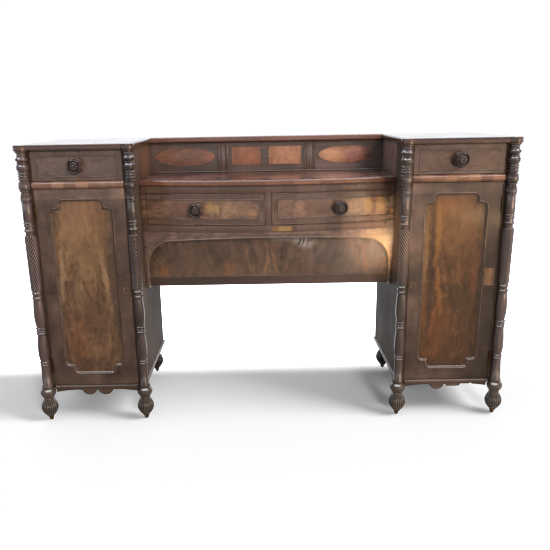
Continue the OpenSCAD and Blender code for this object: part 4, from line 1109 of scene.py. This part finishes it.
for x0, x1 in gallery["uprights"]:
    for s0, s1 in ((x0, x0 + 8), (x0 + 12, x1 - 12), (x1 - 8, x1)):
        outline = rectangle(s0 * mm, s1 * mm, servingHigh.z + 0.3 * mm, boardHigh.z - 0.3 * mm)
        uprights.append(galleryPlate(outline, 4 * mm if s1 - s0 < 10 else 2.5 * mm))
addPiece("gallery_uprights", joined(*uprights), turnedUpright)
addPiece("gallery_mouldings", joined(*[
    mouldingOn([(-half, z), (half, z)], halfRound(width, rise), onGallery, False) for half, z, width, rise in (
        (end, servingHigh.z + 3.5 * mm, 6.6 * mm, 4.5 * mm),
        (end - 1 * mm, boardHigh.z - 4 * mm, 7 * mm, 5 * mm))]), galleryLevel)
capWood = straightWood("gallery cap mahogany", {
    "tones": ("#452e2a", "#61453e", "#7a5a52"), "grain": "x", "streakMm": 10, "rough": (0.2, 0.32), "coat": 0.45,
    "coatRough": 0.12, "specular": 0.45})
addPiece("gallery_cap_board", boardAlongX(spaced(capLow.x, capHigh.x, 8), lambda x: nosed(
    capLow.y, capHigh.y, capLow.z, capHigh.z, 5 * mm)), capWood, standsFor=["gallery_cap"])
print("gallery dressed")


# Backs: upright planks with a small V between them

backLow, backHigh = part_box("pedestal_backs")
plank = {"from": 530.2 * mm, "count": 4, "v": 1.6 * mm, "gap": 0.15 * mm}


def planks():
    shapes = []
    width = (backHigh.x - plank["from"]) / plank["count"]
    v, y0, y1 = plank["v"], backLow.y, backHigh.y
    for k in range(plank["count"]):
        a = plank["from"] + k * width + plank["gap"]
        b = plank["from"] + (k + 1) * width - plank["gap"]
        outline = [(a, y0), (b, y0), (b, y1 - v), (b - v, y1), (a + v, y1), (a, y1 - v)]
        shapes.append(bridged([[(x, y, z) for x, y in outline] for z in (backLow.z, backHigh.z)]))
    return joined(*shapes)


addPiece("pedestal_back_planks", joined(*[mirrored(planks(), side) for side, _ in sides]), backPine,
         standsFor=["pedestal_backs"])

# Above the serving top the pedestal sides get a thin sheet of painted light: a painted warm glow on the left, where
# the light falls, and painted lighter tones on the right
paintedSideLight = {"x": (0.5116, 0.5124), "tones": {
    "left": ("#31261f", "#533b2f", "#715140"), "right": ("#69554f", "#937c74", "#b29a90")}}
for side, sideName in sides:
    (x0, x1), y0, y1 = paintedSideLight["x"], onBow(end) + 2 * mm, boardLow.y
    heights = spaced(servingHigh.z + 0.3 * mm, topLow.z - 0.3 * mm, 2)
    shape = bridged([[(x0, y0, z), (x1, y0, z), (x1, y1, z), (x0, y1, z)] for z in heights])
    addPiece(f"{sideName}_recess_side_painted_light", mirrored(shape, side), straightWood(
        f"recess side painted light {sideName}", {**polishedFrame, "tones": paintedSideLight["tones"][sideName], "grain": "z",
                                             "streakMm": 14, "dustAndShade": (40 * mm, 0.3)}))

# The pieces that keep their solid
for material, names in (
        (sideUpright, ("left_pedestal_sides", "right_pedestal_sides")), (frameLevel, ("plinth_boards",)),
        (carcasePine, ("pedestal_floors", "pedestal_dividers", "pedestal_shelves", "centre_dust_board",
                       "centre_back")),
        (hingeBrass, ("hinge_case_leaves",)),
        (castorBrass, ["castor_sockets", *(name for name in nodes if "_castor_" in name)])):
    for name in names:
        dress(name, material)
print("backs, carcase and castors dressed")


# Stage: a pale floor, soft light and the camera of the photograph

stageLook = {"floor": "#8d8b88", "top": 0.5, "middle": 0.25, "horizon": 1.5, "back": 1.5, "reach": 5.5,
             "solid": 0.995, "fade": (0.16, 0.46), "band": 9.0, "bandAt": 0.8, "sky": "#eef1f6", "backdrop": 1.05}
floorMesh = bpy.data.meshes.new("floor")
reach = stageLook["reach"]
floorMesh.from_pydata([(x, y, 0) for x, y in rectangle(-reach, reach, -reach, reach)], [], [(0, 1, 2, 3)])
floor = bpy.data.objects.new("floor", floorMesh)
bpy.context.scene.collection.objects.link(floor)
floor.is_shadow_catcher = True  # the floor shows as the white backdrop with the shadows on it
# Seen from the front the shadow runs out behind the cabinet, as on a lit backdrop
floorPaint, add, place = newMaterial("painted floor")
floorY = add("SeparateXYZ", (place,)).node.outputs["Y"]
solid = add("MapRange", (floorY, *stageLook["fade"], stageLook["solid"], 0.0), interpolation_type="SMOOTHSTEP")
paint = add("BsdfPrincipled", {
    "Base Color": linearColour(stageLook["floor"]), "Roughness": 0.9, "Specular IOR Level": 0.1})
add("OutputMaterial", {"Surface": add("MixShader", (solid, add("BsdfTransparent"), paint))})
floorMesh.materials.append(floorPaint)


# A rectangle of light; inPolish ones show only as reflections
def softLight(name, place, target, power, size, colour, inPolish=False, spin=0, spread=180):
    lamp = bpy.data.lights.new(name, "AREA")
    lamp.shape = "RECTANGLE"
    lamp.size, lamp.size_y = size
    lamp.energy = power
    lamp.spread = math.radians(spread)
    lamp.color = linearColour(colour)[:3]
    light = bpy.data.objects.new(name, lamp)
    light.location = place
    aim = (Vector(target) - Vector(place)).to_track_quat("-Z", "Y")
    light.rotation_euler = (aim.to_matrix() @ Matrix.Rotation(spin, 3, "Z")).to_euler()
    light.visible_diffuse = not inPolish
    light.visible_glossy = inPolish
    light.visible_camera = False
    bpy.context.scene.collection.objects.link(light)


softLight("warm key", (1.55, -5.6, 2.3), (0, 0, 0.6), power=270, size=(1.1, 1.1), colour="#ffe2c4")
softLight("side window", (3.35, -1.15, 3.1), (0, 0, 0), power=240, size=(2.0, 2.0), colour="#fff0de")
softLight("gold glint", (-1.1, -4.4, 1.0), (0.47, -0.03, 0.7), power=0.62, size=(0.16, 0.16), colour="#ffe0bc",
          spread=4)
softLight("low warm panel", (4.5, -4.75, 0.6), (0.45, -0.2, 0.75), power=50, size=(2.2, 1.2), colour="#ffcf9a",
          inPolish=True)
softLight("warm floor", (3.5, -3.6, 0.02), (3.5, -3.6, 2), power=200, size=(1.6, 3.5), colour="#ffcf9a",
          inPolish=True, spin=0.385)

world = bpy.data.worlds.new("sky")
bpy.context.scene.world = world
world.use_nodes = True
world.node_tree.nodes.clear()
add = partial(addNode, world.node_tree)
_, skyY, skyZ = add("SeparateXYZ", (add("TexCoord").node.outputs["Generated"],)).node.outputs
ray = add("LightPath").node.outputs
overhead = add("MapRange", (skyZ, 0.25, 0.8, stageLook["middle"], stageLook["top"]), interpolation_type="SMOOTHSTEP")
fromLevel = add("Math", (skyZ,), operation="ABSOLUTE")
glow = add("MapRange", (fromLevel, 0.03, 0.22, stageLook["horizon"], 0.0), interpolation_type="SMOOTHSTEP")
front = add("Math", (overhead, glow), operation="MAXIMUM")
# A bright strip high round the room, for polish alone: it draws the thin lines on rings and mouldings
offBand = add("Math", (skyZ, stageLook["bandAt"]), operation="SUBTRACT")
fromBand = add("Math", (offBand,), operation="ABSOLUTE")
strip = add("MapRange", (fromBand, 0.06, 0.12, stageLook["band"], 0.0))
glossStrip = add("Math", (strip, ray["Is Glossy Ray"]), operation="MULTIPLY")
behind = add("MapRange", (skyY, 0.2, 0.8, 0.0, stageLook["back"]))
glossBehind = add("Math", (behind, ray["Is Glossy Ray"]), operation="MULTIPLY")
calm = add("Math", (front, glossBehind), operation="MAXIMUM")
strength = add("Math", (calm, glossStrip), operation="ADD")
sky = add("Background", {"Color": linearColour(stageLook["sky"]), "Strength": strength})
backdrop = add("Background", {"Color": (1, 1, 1, 1), "Strength": stageLook["backdrop"]})
add("OutputWorld", {"Surface": add("MixShader", (ray["Is Camera Ray"], sky, backdrop))})
bpy.context.scene.view_settings.view_transform = "Standard"

view = {"place": (-0.026, columnY - 2.262, 1.203), "yaw": -0.19, "pitch": 15.0, "roll": 1.01, "focal": 610.2,
        "middle": (260.8, 275), "picture": 550, "sensor": 36}
yaw, pitch, tilt = (math.radians(view[k]) for k in ("yaw", "pitch", "roll"))
ahead = Vector((math.sin(yaw) * math.cos(pitch), math.cos(yaw) * math.cos(pitch), -math.sin(pitch)))
right = Vector((math.cos(yaw), -math.sin(yaw), 0))
down = ahead.cross(right)
across = right * math.cos(tilt) + down * math.sin(tilt)
below = down * math.cos(tilt) - right * math.sin(tilt)
camera = bpy.data.objects.new("camera", bpy.data.cameras.new("camera"))
camera.matrix_world = Matrix.Translation(view["place"]) @ Matrix((across, -below, -ahead)).transposed().to_4x4()
camera.data.sensor_width = view["sensor"]
camera.data.lens = view["sensor"] * view["focal"] / view["picture"]
camera.data.shift_x = (view["picture"] / 2 - view["middle"][0]) / view["picture"]
camera.data.shift_y = (view["middle"][1] - view["picture"] / 2) / view["picture"]
bpy.context.scene.collection.objects.link(camera)
bpy.context.scene.camera = camera
print("stage set")
